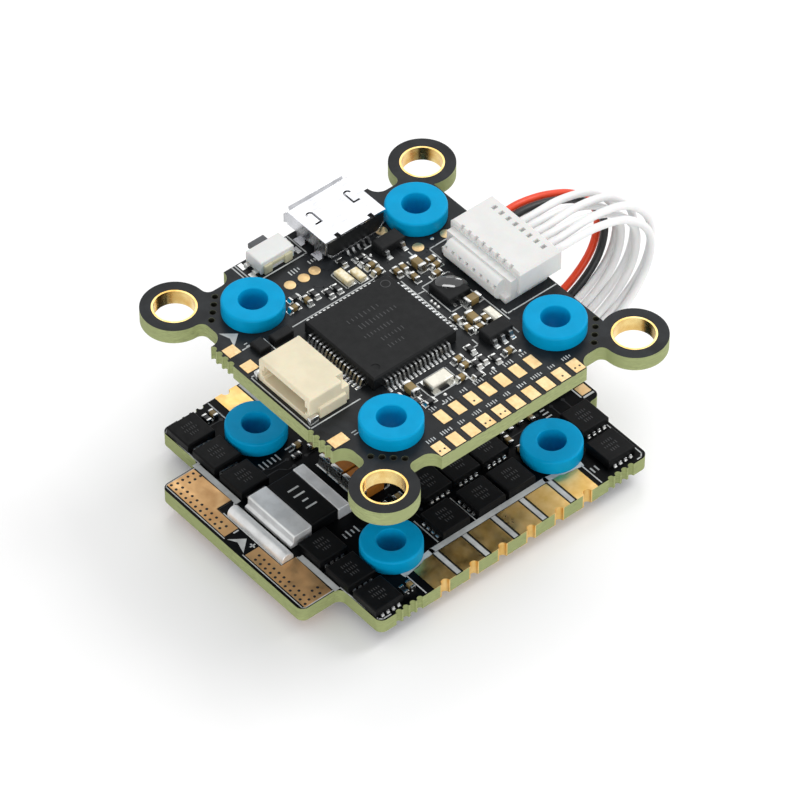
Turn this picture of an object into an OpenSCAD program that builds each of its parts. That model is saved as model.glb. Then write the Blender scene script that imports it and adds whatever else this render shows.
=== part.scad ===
// Flight controller stack: a control board above a four-way speed controller board,
// joined by an eight-wire harness. +X is the side with the rows of solder pads, +Y is
// forward, and z = 0 is the plane that the lower grommets stand on.

/* [Boards] */
// Thickness of both circuit boards
board_t = 1.6; // [1.2:0.1:2.0]
// Distance between the top faces of the two boards
stack_pitch = 16.6; // [16:0.1:17.2]
// Length of the control board's straight side edges from the centre line
fc_half_x = 15.8; // [15.6:0.1:16.2]
// Distance from the centre to the control board's rear edge
fc_rear = 16; // [15.8:0.1:16.4]
// Distance from the centre to the control board's front edge
fc_front = 14.1; // [13.8:0.1:14.4]
// Half width of the speed controller board
esc_half_x = 16.3; // [16:0.1:17]

/* [Mounting] */
// Spacing of the four grommets on each board
grommet_pitch = 20; // [20:1:20]
// Spacing of the four break-off mounting rings
ring_pitch = 30.5; // [30.5:0.5:30.5]
// Bore radius of a grommet
grommet_bore_r = 1.4; // [1.1:0.1:1.6]
// Outer radius of a grommet's flange
grommet_r = 3.05; // [2.9:0.05:3.2]
// Height of a grommet's flange above and below its board
flange_h = 1.6; // [1.4:0.1:1.8]
// Radius of the plated hole in a mounting ring
ring_bore_r = 2; // [1.6:0.1:2.0]
// Outer radius of a mounting ring
ring_r = 3.3; // [3.1:0.1:3.4]

/* [Button] */
// How far the boot button's plunger can be pushed in
button_travel = 0.25; // [0.15:0.05:0.3]

/* [Harness] */
// Diameter of one harness wire
wire_d = 0.8; // [0.6:0.1:0.9]

/* [Hidden] */

// Heights of the board faces above the rest plane
esc_under = flange_h;
esc_top = esc_under + board_t;
fc_top = esc_top + stack_pitch;
fc_under = fc_top - board_t;

// A cut runs this far past each face that it opens
over = 0.2;
// Thickness of a copper pad with its plating
pad_t = 0.05;
// Signs of the four corners, in the order the grommets are numbered
corners = [[1, -1], [1, 1], [-1, 1], [-1, -1]];

// Radius of a grommet's waist, which fills its hole in the board
waist_r = 2;
// Edge rounding on a grommet's flange
flange_round = 0.25;
// Wall thickness of the plated sleeve in a mounting ring
plating_t = 0.2;
// Where the control board's edge steps in beside a mounting ring
neck_line = 14.5;
// Radius of the relief at the end of a straight edge, and of the fillet onto the ring
relief_r = 1.3;
relief_at = 10.15;
blend_r = 0.8;
blend_at = [15.3, 11.15];
// Break-off perforations across each neck
bite_r = 0.35;
bite_pitch = 1.05;
bite_from_grommet = 3.75;
// Scallops that are left where the panel tabs were cut
scallop_r = 0.32;
scallop_pitch = 0.85;

// Solder pads: outer row on the edge, inner row behind it
outer_pads = 10;
inner_pads = 7;
pad_pitch = 1.83;
outer_pad_x = 14.9;
inner_pad_x = 11.95;
// Round test pads, left of the processor and beside the harness header
test_pad_r = 0.58;
test_pad_at = [
  [-10.4, -5.2], [-10.3, -3.6], [-10.4, -2.2], [-10.4, 6.1], [-6.2, 10.5], [-6.5, 7.3]
];

// Main processor, a square package with leads on four sides
mcu_at = [0.35, -3.15];
mcu_w = 10;
mcu_h = 1.4;
lead_pitch = 0.5;
leads_per_side = 16;

// Small parts: [x, y, turn] in each list, by case size
cap_0402 = [
  [-7.3, 2.2, 90], [-6.3, 2.1, 90], [-5.1, 3.5, 0], [-5.1, 4.3, 0], [-3.5, 4.3, 0],
  [-4.3, 7, 90], [-3.4, 6.9, 90], [-2.5, 6.2, 90], [3.3, 3.7, 0], [4.9, 3.7, 0],
  [5.5, 4.6, 90], [5, 5.8, 0], [9.6, 4.6, 90], [7.4, 0.3, 90], [8.4, 0.3, 90], [9.4, -1, 90],
  [-7.6, -5.4, 0], [-7.6, -7, 90]
];
cap_0603 = [[-4.6, 5.6, 0], [4.3, 4.8, 0], [2.4, 6.4, 90], [7.6, -5.6, 0]];
res_0402 = [
  [-8.9, 2.1, 90], [-8.1, 2.1, 90], [-9.5, 0.4, 0], [-7.1, -2.2, 0], [-7.1, -3.2, 0],
  [7.1, 2.1, 0], [8.8, 2.1, 0], [9.5, 3.1, 0], [8.9, 1.3, 0], [-7.9, -4.3, 0],
  [-8.7, -6.1, 90], [10.1, 0.4, 90], [7.4, -7.2, 90], [9, -6.2, 90], [9.8, -5.2, 90]
];

// Micro USB socket: opening towards -X
usb_back = -10.5;
usb_mouth = -16.2;
usb_y = 2.95;
usb_w = 7.4;
usb_h = 2.5;
usb_sheet = 0.25;
usb_rise = 0.05;
// Spring tongues cut in the roof, and the latch notches in its back edge
spring_from_mouth = 1.75;
spring_y = 2.3;
spring_r = 0.42;
spring_l = 1.4;
spring_slit = 0.2;
latch_y = 2.05;
latch_w = 0.5;

// Boot button: a side-push switch that faces -X
button_x = [-15.5, -13.2];
button_y = [-6.4, -2.4];
button_h = 1.5;
plunger_y = -4.45;
plunger_w = 1.9;
plunger_z = 0.85;
plunger_t = 0.6;
slide_gap = 0.06;
button_wall = 0.35;
button_floor = 0.3;
button_roof = 0.2;
// The plunger's flange rests this far behind the wall, and is this thick
flange_rest = 0.05;
flange_t = 0.25;
dome_r = 0.62;

// Receiver socket: six contacts, opening towards -Y
socket_x = [-2.6, 4.65];
socket_y = [-15.3, -10.5];
socket_h = 2.9;
socket_contacts = 6;
contact_pitch = 1;

// Harness connectors: eight contacts, plug pushed in from +Y
harness_contacts = 8;
plug_half_w = 4.95;
plug_y = [10, 15.2];
plug_z = [0.7, 3.2];
wire_z = 1.7;
esc_connector_shift = 2.8;

// Speed controller outline
esc_front = 16.8;
esc_rear = 16.65;
battery_tab_half = 10.45;
battery_tab_y = -21.3;
connector_tab_half = 7.4;
connector_tab_y = 18.6;
corner_r = 0.8;

// Motor pads: six on each long side, each with a half-round plated notch
motor_pads = 6;
motor_pitch = 3.55;
motor_pad_w = 2.65;
motor_pad_x = 12.85;
motor_pad_shift = 0.15;
notch_r = 0.6;
notch_plating = 0.15;
// Clear space between a pad and a grommet's flange
flange_gap = 0.2;

// Power transistors, as [x, y, turn] on the +X half; each is mirrored onto the -X half
fet_w = 3.35;
fet_h = 0.95;
fet_lead = 0.13;
fet_at = [
  [5.8, -14.9, 0], [9.9, -14.9, 0], [13.9, -14.9, 0],
  [10.4, -3.7, -90], [10.4, 0.75, -90], [10.4, 4.5, -90],
  [5.9, -2.05, 0], [5.9, 1.5, 0], [5.9, 5.05, 0],
  [9.1, 14.95, 0], [13.6, 14.3, 0]
];

// Current shunt: a wide resistor between two plate terminals
shunt_x = [-3.1, 3.75];
shunt_y = [-17.1, -9.45];
shunt_body_y = [-14.45, -11.2];
shunt_h = 1.5;

// Harness wires: shared route from the upper plug round to the lower one, as [y, z]
wire_route = [
  [plug_y[1], fc_top + wire_z], [17.4, fc_top + wire_z],
  [20.8, 20.6], [24.6, 18.6], [27.4, 15.4], [28.1, 12.4], [27.2, 9.2], [24.6, 6.8], [21, 5.3],
  [plug_y[1] + esc_connector_shift, esc_top + wire_z]
];
// How much of a wire's own lean, reach and lift each point of the route takes
wire_share = [0, 0, 0.4, 0.8, 1, 1, 1, 0.6, 0.2, 0];
wire_lift_share = [0, 0, 0.6, 1, 0.8, 0.3, 0, 0, 0, 0];
// Sideways lean, outward reach and lift of each wire's loop
wire_lean = [0, 0.1, -0.4, -0.3, -0.9, -0.6, -1.2, -1.3];
wire_reach = [-0.5, -0.6, 0.5, 0.1, 1.4, 0.6, 2.1, 1.3];
wire_lift = [0, 0, 0.9, 0.1, 1, 0.1, 0.8, 0];
wire_sides = 8;

// Points on an arc about c, from angle a0 to a1
function arc(c, r, a0, a1, n = 6) =
  [for (i = [0 : n]) c + r * [cos(a0 + (a1 - a0) * i / n), sin(a0 + (a1 - a0) * i / n)]];

function grommet_at(i) = corners[i] * grommet_pitch / 2;
function ring_at(i) = corners[i] * ring_pitch / 2;
function motor_y(i) = (i - (motor_pads - 1) / 2) * motor_pitch + motor_pad_shift;
function row_at(i, n, pitch) = (i - (n - 1) / 2) * pitch;

// A moulded package: a block whose top edges are bevelled by c, standing on z = 0
module package(w, d, h, c = 0.12) {
  intersection() {
    rotate([90, 0, 0])
      linear_extrude(d + 2 * over, center = true)
        polygon(bevelled(w, h, c));
    rotate([90, 0, 90])
      linear_extrude(w + 2 * over, center = true)
        polygon(bevelled(d, h, c));
  }
}
function bevelled(w, h, c) =
  [[-w / 2, 0], [w / 2, 0], [w / 2, h - c], [w / 2 - c, h], [c - w / 2, h], [-w / 2, h - c]];

// One lead of a package: an S-bent strip that leaves the body at z = mid along +X
module gull_lead(reach, mid, w, t = 0.13) {
  rotate([90, 0, 0])
    linear_extrude(w, center = true)
      polygon([
        [0, mid], [reach * 0.35, mid], [reach * 0.6, 0], [reach, 0],
        [reach, t], [reach * 0.68, t], [reach * 0.43, mid + t], [0, mid + t]
      ]);
}

// Body and end caps of a chip capacitor or resistor, l long along X
module chip_body(l, w, h, cap) {
  translate([cap - l / 2, 0.02 - w / 2, 0.02])
    cube([l - 2 * cap, w - 0.04, h - 0.04]);
}
module chip_caps(l, w, h, cap) {
  for (s = [-1, 1])
    translate([s * (l - cap) / 2 - cap / 2, -w / 2, 0])
      cube([cap, w, h]);
}

// ---- Control board ----

module fc_side_relief() {
  translate([fc_half_x, relief_at])
    circle(r = relief_r, $fn = 48);
  translate(blend_at)
    circle(r = blend_r, $fn = 48);
  translate([neck_line, relief_at])
    square([3, blend_at[1] - relief_at]);
  translate([blend_at[0], relief_at])
    square([3, ring_pitch / 2 - relief_at]);
}

module fc_outline() {
  difference() {
    translate([-fc_half_x, -fc_rear])
      square([2 * fc_half_x, fc_rear + fc_front]);
    for (sx = [-1, 1], sy = [-1, 1])
      scale_xy(sx, sy) fc_side_relief();
    for (sx = [-1, 1])
      scale_xy(sx, -1) mirror([1, -1]) fc_side_relief();
    for (sx = [-1, 1])
      scale_xy(sx, -1)
        translate([relief_at - relief_r, fc_half_x])
          square([ring_pitch / 2 - relief_at + relief_r, 1]);
    for (x = [-7.2, 6.9])
      for (i = [0 : 3])
        translate([x + row_at(i, 4, scallop_pitch), -fc_rear])
          circle(r = scallop_r, $fn = 24);
  }
  for (i = [0 : 3])
    translate(ring_at(i))
      circle(r = ring_r, $fn = 96);
}

// Reflects its children by the signs sx and sy
module scale_xy(sx, sy) {
  mirror([sx < 0 ? 1 : 0, 0])
    mirror([0, sy < 0 ? 1 : 0])
      children();
}

module neck_bites() {
  for (i = [0 : 3])
    translate(grommet_at(i))
      rotate(atan2(corners[i][1], corners[i][0]))
        for (k = [0 : 3])
          translate([bite_from_grommet, row_at(k, 4, bite_pitch)])
            circle(r = bite_r, $fn = 24);
}

module fc_board() {
  color("#26282a")
    translate([0, 0, fc_under])
      linear_extrude(board_t)
        difference() {
          fc_outline();
          for (i = [0 : 3])
            translate(ring_at(i))
              circle(r = ring_bore_r + plating_t, $fn = 64);
          for (i = [0 : 3])
            translate(grommet_at(i))
              circle(r = waist_r, $fn = 64);
          neck_bites();
        }
}

module fc_ring_plating() {
  color("#e2b65c")
    for (i = [0 : 3])
      translate([ring_at(i)[0], ring_at(i)[1], fc_under])
        difference() {
          cylinder(h = board_t, r = ring_bore_r + plating_t, $fn = 64);
          translate([0, 0, -over])
            cylinder(h = board_t + 2 * over, r = ring_bore_r, $fn = 64);
        }
}

// Solder pads on the control board's top face, and their mates below
module fc_solder_pads() {
  color("#f0cf9a") {
    for (z = [fc_top, fc_under - pad_t])
      for (i = [0 : outer_pads - 1])
        translate([outer_pad_x - 0.8, row_at(i, outer_pads, pad_pitch) - 0.6, z])
          cube([1.6, 1.2, pad_t]);
    for (i = [0 : inner_pads - 1])
      translate([inner_pad_x - 0.82, row_at(i, inner_pads, pad_pitch) - 0.52, fc_top])
        cube([1.65, 1.05, pad_t]);
    for (x = [-7.8, -5.2])
      translate([x, -15.6, fc_top])
        cube([1.3, 1.35, pad_t]);
    translate([7.45, -15.6, fc_top])
      cube([1.25, 1.8, pad_t]);
    for (p = test_pad_at)
      translate([p[0], p[1], fc_top])
        cylinder(h = pad_t, r = test_pad_r, $fn = 32);
  }
}

module mcu_package() {
  stand_off = 0.1;
  color("#2c2d2f")
    translate([mcu_at[0], mcu_at[1], fc_top + stand_off])
      difference() {
        package(mcu_w, mcu_w, mcu_h, 0.16);
        translate([mcu_w / 2 - 1.15, 1.15 - mcu_w / 2, mcu_h - 0.06])
          cylinder(h = over, r = 0.45, $fn = 32);
      }
}

module mcu_leads() {
  color("#c4c6c8")
    translate([mcu_at[0], mcu_at[1], fc_top])
      for (side = [0 : 3])
        rotate(side * 90)
          for (i = [0 : leads_per_side - 1])
            translate([mcu_w / 2, row_at(i, leads_per_side, lead_pitch), 0])
              gull_lead(1, 0.7, 0.22);
}

module gyro_sensor() {
  color("#2f3033")
    translate([0, 5.65, fc_top])
      package(2.9, 2.7, 0.9);
}

module fc_crystal() {
  color("#cfd2d0") {
    translate([8.35, -2.9, fc_top])
      package(1.5, 2.6, 0.7);
    translate([5.05, 6.6, fc_top])
      package(1.9, 1, 0.6);
  }
}

module fc_leds() {
  color("#f2ead0") {
    translate([-7.75, -0.8, fc_top])
      package(2, 0.9, 0.6, 0.08);
    translate([-7.2, 0.5, fc_top])
      package(1.6, 0.8, 0.5, 0.08);
  }
}

// Small regulator packages on the top face
module fc_regulators() {
  color("#28292b") {
    translate([7, 5.3, fc_top])
      package(1.6, 2.9, 1);
    translate([-8.5, 5.3, fc_top])
      package(1.6, 2.9, 1);
    translate([-5.5, -10.3, fc_top])
      package(1.1, 2.2, 0.8);
    translate([-5.7, -12.6, fc_top])
      package(1.6, 1.3, 0.7);
  }
}

module fc_regulator_leads() {
  color("#c4c6c8")
    translate([0, 0, fc_top]) {
      for (y = [-0.95, 0, 0.95])
        translate([7.8, 5.3 + y, 0])
          gull_lead(0.6, 0.45, 0.4);
      for (y = [-0.95, 0.95])
        translate([-7.7, 5.3 + y, 0])
          gull_lead(0.6, 0.45, 0.4);
      translate([-9.3, 5.3, 0])
        rotate(180)
          gull_lead(0.6, 0.45, 0.4);
    }
}

module fc_chips(list, l, w, h, cap, ends) {
  for (p = list)
    translate([p[0], p[1], fc_top])
      rotate(p[2]) {
        if (ends)
          chip_caps(l, w, h, cap);
        else
          chip_body(l, w, h, cap);
      }
}

module fc_capacitors() {
  color("#a08a5c") {
    fc_chips(cap_0402, 1.05, 0.55, 0.55, 0.26, false);
    fc_chips(cap_0603, 1.65, 0.85, 0.8, 0.36, false);
  }
}

module fc_resistors() {
  color("#202122")
    fc_chips(res_0402, 1.05, 0.55, 0.38, 0.22, false);
}

module fc_chip_ends() {
  color("#d6d6d2") {
    fc_chips(cap_0402, 1.05, 0.55, 0.55, 0.26, true);
    fc_chips(cap_0603, 1.65, 0.85, 0.8, 0.36, true);
    fc_chips(res_0402, 1.05, 0.55, 0.38, 0.22, true);
  }
}

// Memory and video chips on the underside of the control board
module fc_underside_chips() {
  color("#28292b")
    translate([0, 0, fc_under])
      mirror([0, 0, 1]) {
        translate([-1, 4.5, 0])
          package(9.7, 4.4, 1.1);
        translate([-3.5, -4, 0])
          package(4.9, 3.9, 1.3);
        translate([4.5, -4.5, 0])
          package(3, 3, 0.9);
      }
}

module fc_underside_leads() {
  color("#c4c6c8")
    translate([0, 0, fc_under])
      mirror([0, 0, 1]) {
        for (s = [-1, 1], i = [0 : 13])
          translate([-1 + row_at(i, 14, 0.65), 4.5 + s * 2.2, 0])
            rotate(s * 90)
              gull_lead(1, 0.45, 0.25);
        for (s = [-1, 1], i = [0 : 3])
          translate([-3.5 + row_at(i, 4, 1.27), -4 + s * 1.95, 0])
            rotate(s * 90)
              gull_lead(1, 0.55, 0.42);
      }
}

// ---- Micro USB socket ----

// Outline of the shell across its opening: two lower corners are cut back
function usb_outline(w, h, cut) =
  [[cut - w / 2, 0], [w / 2 - cut, 0], [w / 2, cut], [w / 2, h], [-w / 2, h], [-w / 2, cut]];

module usb_prism(w, h, cut, x0, x1, rise) {
  translate([x0, usb_y, fc_top + usb_rise + rise])
    rotate([90, 0, 90])
      linear_extrude(x1 - x0)
        polygon(usb_outline(w, h, cut));
}

// Cut round a spring tongue: a rounded end towards the mouth, one long side and a far end
module spring_cut() {
  difference() {
    circle(r = spring_r, $fn = 32);
    circle(r = spring_r - spring_slit, $fn = 32);
    translate([0, -spring_r])
      square(2 * spring_r);
  }
  translate([0, -spring_r])
    square([spring_l, spring_slit]);
  translate([spring_l - spring_slit, -spring_r])
    square([spring_slit, 2 * spring_r]);
}

module usb_shell() {
  inner_w = usb_w - 2 * usb_sheet;
  inner_h = usb_h - 2 * usb_sheet;
  lip = 0.3;
  top = fc_top + usb_rise + usb_h;
  color("#d4d6d8") {
    difference() {
      usb_prism(usb_w, usb_h, 0.9, usb_mouth, usb_back, 0);
      usb_prism(inner_w, inner_h, 0.75, usb_mouth - over, usb_back + over, usb_sheet);
      translate([0, usb_y, top - usb_sheet - over])
        linear_extrude(usb_sheet + 2 * over)
          for (s = [-1, 1]) {
            translate([usb_mouth + spring_from_mouth, s * spring_y])
              scale_xy(1, s)
                spring_cut();
            translate([usb_back - latch_w, s * latch_y - latch_w / 2])
              square([latch_w + over, latch_w]);
          }
    }
    // flared lips at the mouth
    translate([usb_mouth, usb_y, top])
      rotate([90, 0, 0])
        linear_extrude(usb_w - 0.8, center = true)
          polygon([[0, 0], [-lip, lip * 0.8], [-lip, lip * 0.8 - usb_sheet], [0, -usb_sheet]]);
    translate([usb_mouth, usb_y, fc_top + usb_rise])
      rotate([90, 0, 0])
        linear_extrude(usb_w - 2.4, center = true)
          polygon([[0, 0], [0, usb_sheet], [-lip, usb_sheet - 0.05], [-lip, -0.05]]);
    for (s = [-1, 1])
      translate([usb_mouth, usb_y + s * (usb_w / 2 - usb_sheet), fc_top + usb_rise + 1.1])
        linear_extrude(1.1)
          polygon([[0, 0], [0, s * usb_sheet], [-lip, s * (usb_sheet + 0.2)], [-lip, s * 0.2]]);
    // legs from the side walls, each with a solder foot
    for (s = [-1, 1], x = [-14.2, -11.6]) {
      translate([x - 0.6, usb_y + s * (usb_w - usb_sheet) / 2 - usb_sheet / 2, fc_top])
        cube([1.2, usb_sheet, 1.3]);
      translate([x - 0.6, usb_y + s * (usb_w / 2 + 0.1) - 0.35, fc_top])
        cube([1.2, 0.7, usb_sheet]);
    }
  }
}

module usb_insert() {
  inner_w = usb_w - 2 * usb_sheet;
  color("#1d1e20") {
    usb_prism(inner_w, usb_h - 2 * usb_sheet, 0.75, usb_back - 1.6, usb_back, usb_sheet);
    translate([usb_mouth + 1, usb_y - 1.9, fc_top + usb_rise + 1.35])
      cube([usb_back - 1.6 - usb_mouth - 1, 3.8, 0.6]);
  }
}

module usb_contacts() {
  color("#d9c48c")
    for (i = [0 : 4]) {
      y = usb_y + row_at(i, 5, 0.65);
      translate([usb_mouth + 1.2, y - 0.15, fc_top + usb_rise + 1.27])
        cube([usb_back - 1.6 - usb_mouth - 1.2, 0.3, 0.08]);
      translate([usb_back, y, fc_top])
        gull_lead(0.8, 0.3, 0.25);
    }
}

// ---- Boot button ----

module button_housing() {
  depth = button_x[1] - button_x[0];
  len = button_y[1] - button_y[0];
  color("#f1efe8")
    difference() {
      translate([(button_x[0] + button_x[1]) / 2, (button_y[0] + button_y[1]) / 2, fc_top])
        package(depth, len, button_h, 0.1);
      translate([button_x[0] + button_wall, button_y[0] + button_wall, fc_top + button_floor])
        cube([
          depth - 2 * button_wall, len - 2 * button_wall, button_h - button_floor - button_roof
        ]);
      translate([
        button_x[0] - over, plunger_y - plunger_w / 2 - slide_gap,
        fc_top + plunger_z - plunger_t / 2 - slide_gap
      ])
        cube([button_wall + 2 * over, plunger_w + 2 * slide_gap, plunger_t + 2 * slide_gap]);
    }
}

module button_plunger() {
  stem_end = button_x[0] + button_wall + flange_rest;
  face = button_x[0] - 0.95;
  low = fc_top + plunger_z - plunger_t / 2;
  color("#45474a") {
    translate([face, plunger_y - plunger_w / 2, low])
      cube([stem_end - face, plunger_w, plunger_t]);
    translate([stem_end, plunger_y - plunger_w / 2 - 0.35, low])
      cube([flange_t, plunger_w + 0.7, plunger_t]);
  }
}

// Bowed snap spring that returns the plunger, clear of it at full travel
module button_dome() {
  front = button_x[0] + button_wall + 2 * flange_rest + flange_t + button_travel;
  h = 0.8;
  color("#c8c2a8")
    translate([front + dome_r, plunger_y, fc_top + button_floor])
      difference() {
        cylinder(h = h, r = dome_r, $fn = 48);
        translate([0, 0, -over])
          cylinder(h = h + 2 * over, r = dome_r - 0.12, $fn = 48);
        translate([0.14, -1, -over])
          cube([1, 2, h + 2 * over]);
      }
}

module button_terminals() {
  color("#cdd0d2")
    for (s = [0, 1], x = [0.55, 1.75]) {
      y = s == 0 ? button_y[0] - 0.5 : button_y[1];
      translate([button_x[0] + x - 0.3, y, fc_top])
        cube([0.6, 0.5, 0.3]);
    }
}

// ---- Receiver socket ----

module receiver_socket() {
  w = socket_x[1] - socket_x[0];
  d = socket_y[1] - socket_y[0];
  mid = (socket_x[0] + socket_x[1]) / 2;
  color("#efe8d4")
    difference() {
      union() {
        translate([mid, (socket_y[0] + socket_y[1]) / 2, fc_top])
          package(w, d, socket_h, 0.15);
        translate([mid, (socket_y[0] + socket_y[1]) / 2 + 0.3, fc_top])
          package(w + 0.5, d - 1.6, 1.3, 0.1);
      }
      // mouth
      translate([mid - 2.95, socket_y[0] - over, fc_top + 0.55])
        cube([5.9, 3.6, 1.8]);
      // key slots at both ends of the mouth
      for (s = [-1, 1])
        translate([mid + s * 3.05 - 0.25, socket_y[0] - over, fc_top + 0.9])
          cube([0.5, 2, 0.7]);
      // corner relief at the rear
      translate([socket_x[1] - 0.9, socket_y[1] - 0.9, fc_top + 1.9])
        cube([1.2, 1.2, 1.2]);
    }
}

module receiver_contacts() {
  mid = (socket_x[0] + socket_x[1]) / 2;
  color("#d9c48c")
    for (i = [0 : socket_contacts - 1]) {
      x = mid + row_at(i, socket_contacts, contact_pitch);
      translate([x - 0.12, socket_y[0] + 1, fc_top + 1.3])
        cube([0.24, 2.4, 0.24]);
      translate([x, socket_y[1], fc_top])
        rotate(90)
          gull_lead(0.7, 0.3, 0.24);
    }
}

module receiver_solder_tabs() {
  color("#d0d3d4")
    for (s = [0, 1]) {
      x = s == 0 ? socket_x[0] - 0.5 : socket_x[1];
      translate([x, socket_y[0] - 0.25, fc_top])
        cube([0.5, 1, 0.9]);
    }
}

// ---- Harness connectors, drawn at z = 0 on their board and centred on x = 0 ----

module harness_header() {
  color("#eceae4")
    difference() {
      union() {
        translate([-4.6, 8.6, 0])
          cube([9.2, 5.2, plug_z[0]]);
        // rear wall with a rounded back
        translate([0, 9.2, 0])
          intersection() {
            translate([-3.7, -1.2, 0])
              cube([7.4, 2, 2.3]);
            translate([-3.7, 0, 1.1])
              rotate([0, 90, 0])
                cylinder(h = 7.4, r = 1.25, $fn = 48);
          }
        translate([-4.6, 9.2, 0])
          cube([9.2, plug_y[0] - 9.2, 2.5]);
      }
      for (i = [0 : harness_contacts - 1])
        translate([row_at(i, harness_contacts, contact_pitch) - 0.16, 8, wire_z - 0.16])
          cube([0.32, 3, 0.32]);
    }
}

module harness_pins() {
  color("#d9c48c")
    for (i = [0 : harness_contacts - 1]) {
      x = row_at(i, harness_contacts, contact_pitch);
      translate([x - 0.16, 9.3, wire_z - 0.16])
        cube([0.32, 3.2, 0.32]);
      translate([x, 13.8, 0])
        rotate(90)
          gull_lead(0.3, 0.15, 0.24);
    }
}

module harness_plug() {
  color("#f4f3f0")
    difference() {
      translate([0, (plug_y[0] + plug_y[1]) / 2, plug_z[0]])
        package(2 * plug_half_w, plug_y[1] - plug_y[0], plug_z[1] - plug_z[0], 0.2);
      for (i = [0 : harness_contacts - 1]) {
        x = row_at(i, harness_contacts, contact_pitch);
        // contact chamber, crimp window and latch slot of each wire
        translate([x - 0.2, plug_y[0] - over, wire_z - 0.2])
          cube([0.4, 3 + over, 0.4]);
        translate([x - 0.22, plug_y[1] - 1.3, plug_z[1] - 0.4])
          cube([0.44, 0.6, 0.6]);
        translate([x - 0.2, plug_y[0] - over, plug_z[1] - 0.5])
          cube([0.4, 0.6, 0.7]);
      }
      // pocket for the latch spring at the +X end
      translate([plug_half_w - 0.75, plug_y[0] - over, 1.3])
        cube([0.35, 0.9, 1.1]);
    }
}

module fc_harness_header() {
  translate([0, 0, fc_top]) harness_header();
}
module fc_harness_pins() {
  translate([0, 0, fc_top]) harness_pins();
}
module fc_harness_plug() {
  translate([0, 0, fc_top]) harness_plug();
}
module esc_harness_header() {
  translate([0, esc_connector_shift, esc_top]) harness_header();
}
module esc_harness_pins() {
  translate([0, esc_connector_shift, esc_top]) harness_pins();
}
module esc_harness_plug() {
  translate([0, esc_connector_shift, esc_top]) harness_plug();
}

// ---- Grommets ----

// Half section of a grommet, from the axis outwards, centred on its board
function grommet_section() =
  let (half = board_t / 2, h = half + flange_h, e = flange_round)
    concat(
      [[grommet_bore_r, -h]],
      arc([grommet_r - e, e - h], e, -90, 0),
      [[grommet_r, -half], [waist_r, -half], [waist_r, half], [grommet_r, half]],
      arc([grommet_r - e, h - e], e, 0, 90),
      [[grommet_bore_r, h]]
    );

module grommet(i, mid_z) {
  color("#12a5dc")
    translate([grommet_at(i)[0], grommet_at(i)[1], mid_z])
      rotate_extrude($fn = 72)
        polygon(grommet_section());
}

// ---- Speed controller board ----

module rounded_rect(x0, y0, x1, y1, r) {
  translate([x0 + r, y0])
    square([x1 - x0 - 2 * r, y1 - y0]);
  translate([x0, y0 + r])
    square([x1 - x0, y1 - y0 - 2 * r]);
  for (x = [x0 + r, x1 - r], y = [y0 + r, y1 - r])
    translate([x, y])
      circle(r = r, $fn = 32);
}

// Fills the inside corner at [x, y] with a fillet that opens towards the signs sx, sy
module inside_fillet(x, y, sx, sy, r) {
  translate([x, y])
    scale_xy(sx, sy)
      difference() {
        translate([-0.1, -0.1])
          square([r + 0.1, r + 0.1]);
        translate([r, r])
          circle(r = r, $fn = 32);
      }
}

module esc_outline() {
  rounded_rect(-esc_half_x, -esc_rear, esc_half_x, esc_front, corner_r);
  rounded_rect(-battery_tab_half, battery_tab_y, battery_tab_half, 0, corner_r);
  rounded_rect(-connector_tab_half, 0, connector_tab_half, connector_tab_y, corner_r);
  for (s = [-1, 1]) {
    inside_fillet(s * battery_tab_half, -esc_rear, s, -1, corner_r);
    inside_fillet(s * connector_tab_half, esc_front, s, 1, corner_r);
  }
}

module esc_board() {
  color("#232528")
    translate([0, 0, esc_under])
      linear_extrude(board_t)
        difference() {
          esc_outline();
          for (i = [0 : 3])
            translate(grommet_at(i))
              circle(r = waist_r, $fn = 64);
          for (s = [-1, 1]) {
            for (i = [0 : motor_pads - 1])
              translate([s * esc_half_x, motor_y(i)])
                circle(r = notch_r, $fn = 32);
            for (y = [-13.1, 13.3])
              for (i = [0 : 3])
                translate([s * esc_half_x, y + row_at(i, 4, scallop_pitch)])
                  circle(r = scallop_r, $fn = 24);
          }
        }
}

// Outline of the two battery pads: each narrows to a strip beside the centre arrow
function battery_pad(s) = [
  [s * 1.55, -20.8], [s * 10.25, -20.75], [s * 10.25, -17.5],
  [s * 4.8, -17.35], [s * 4.8, -19.1], [s * 1.55, -19.15]
];

module battery_pads() {
  color("#c98f4e")
    for (z = [esc_top, esc_under - pad_t], s = [-1, 1])
      translate([0, 0, z])
        linear_extrude(pad_t)
          polygon(battery_pad(s));
}

// Motor pads on both faces, each with a plated half-round notch at the edge
module motor_pads() {
  color("#a8853a")
    difference() {
      for (s = [-1, 1], i = [0 : motor_pads - 1])
        translate([0, motor_y(i), 0])
          motor_pad(s);
      for (i = [0 : 3])
        translate([grommet_at(i)[0], grommet_at(i)[1], 0])
          cylinder(h = esc_top + 1, r = grommet_r + flange_gap, $fn = 72);
    }
}

// One pad on the long edge towards s: plates on both faces, joined by the plated notch
module motor_pad(s) {
  for (z = [esc_top, esc_under - pad_t])
    translate([s * (motor_pad_x + esc_half_x) / 2, 0, z])
      linear_extrude(pad_t)
        difference() {
          square([esc_half_x - motor_pad_x, motor_pad_w], center = true);
          translate([s * (esc_half_x - motor_pad_x) / 2, 0])
            circle(r = notch_r, $fn = 32);
        }
  intersection() {
    translate([s * esc_half_x, 0, esc_under - pad_t])
      difference() {
        cylinder(h = board_t + 2 * pad_t, r = notch_r, $fn = 32);
        translate([0, 0, -over])
          cylinder(h = board_t + 2 * over + 2 * pad_t, r = notch_r - notch_plating, $fn = 32);
      }
    translate([s * (esc_half_x - 1) - 1, -1, 0])
      cube([2, 2, esc_top + 1]);
  }
}

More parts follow.
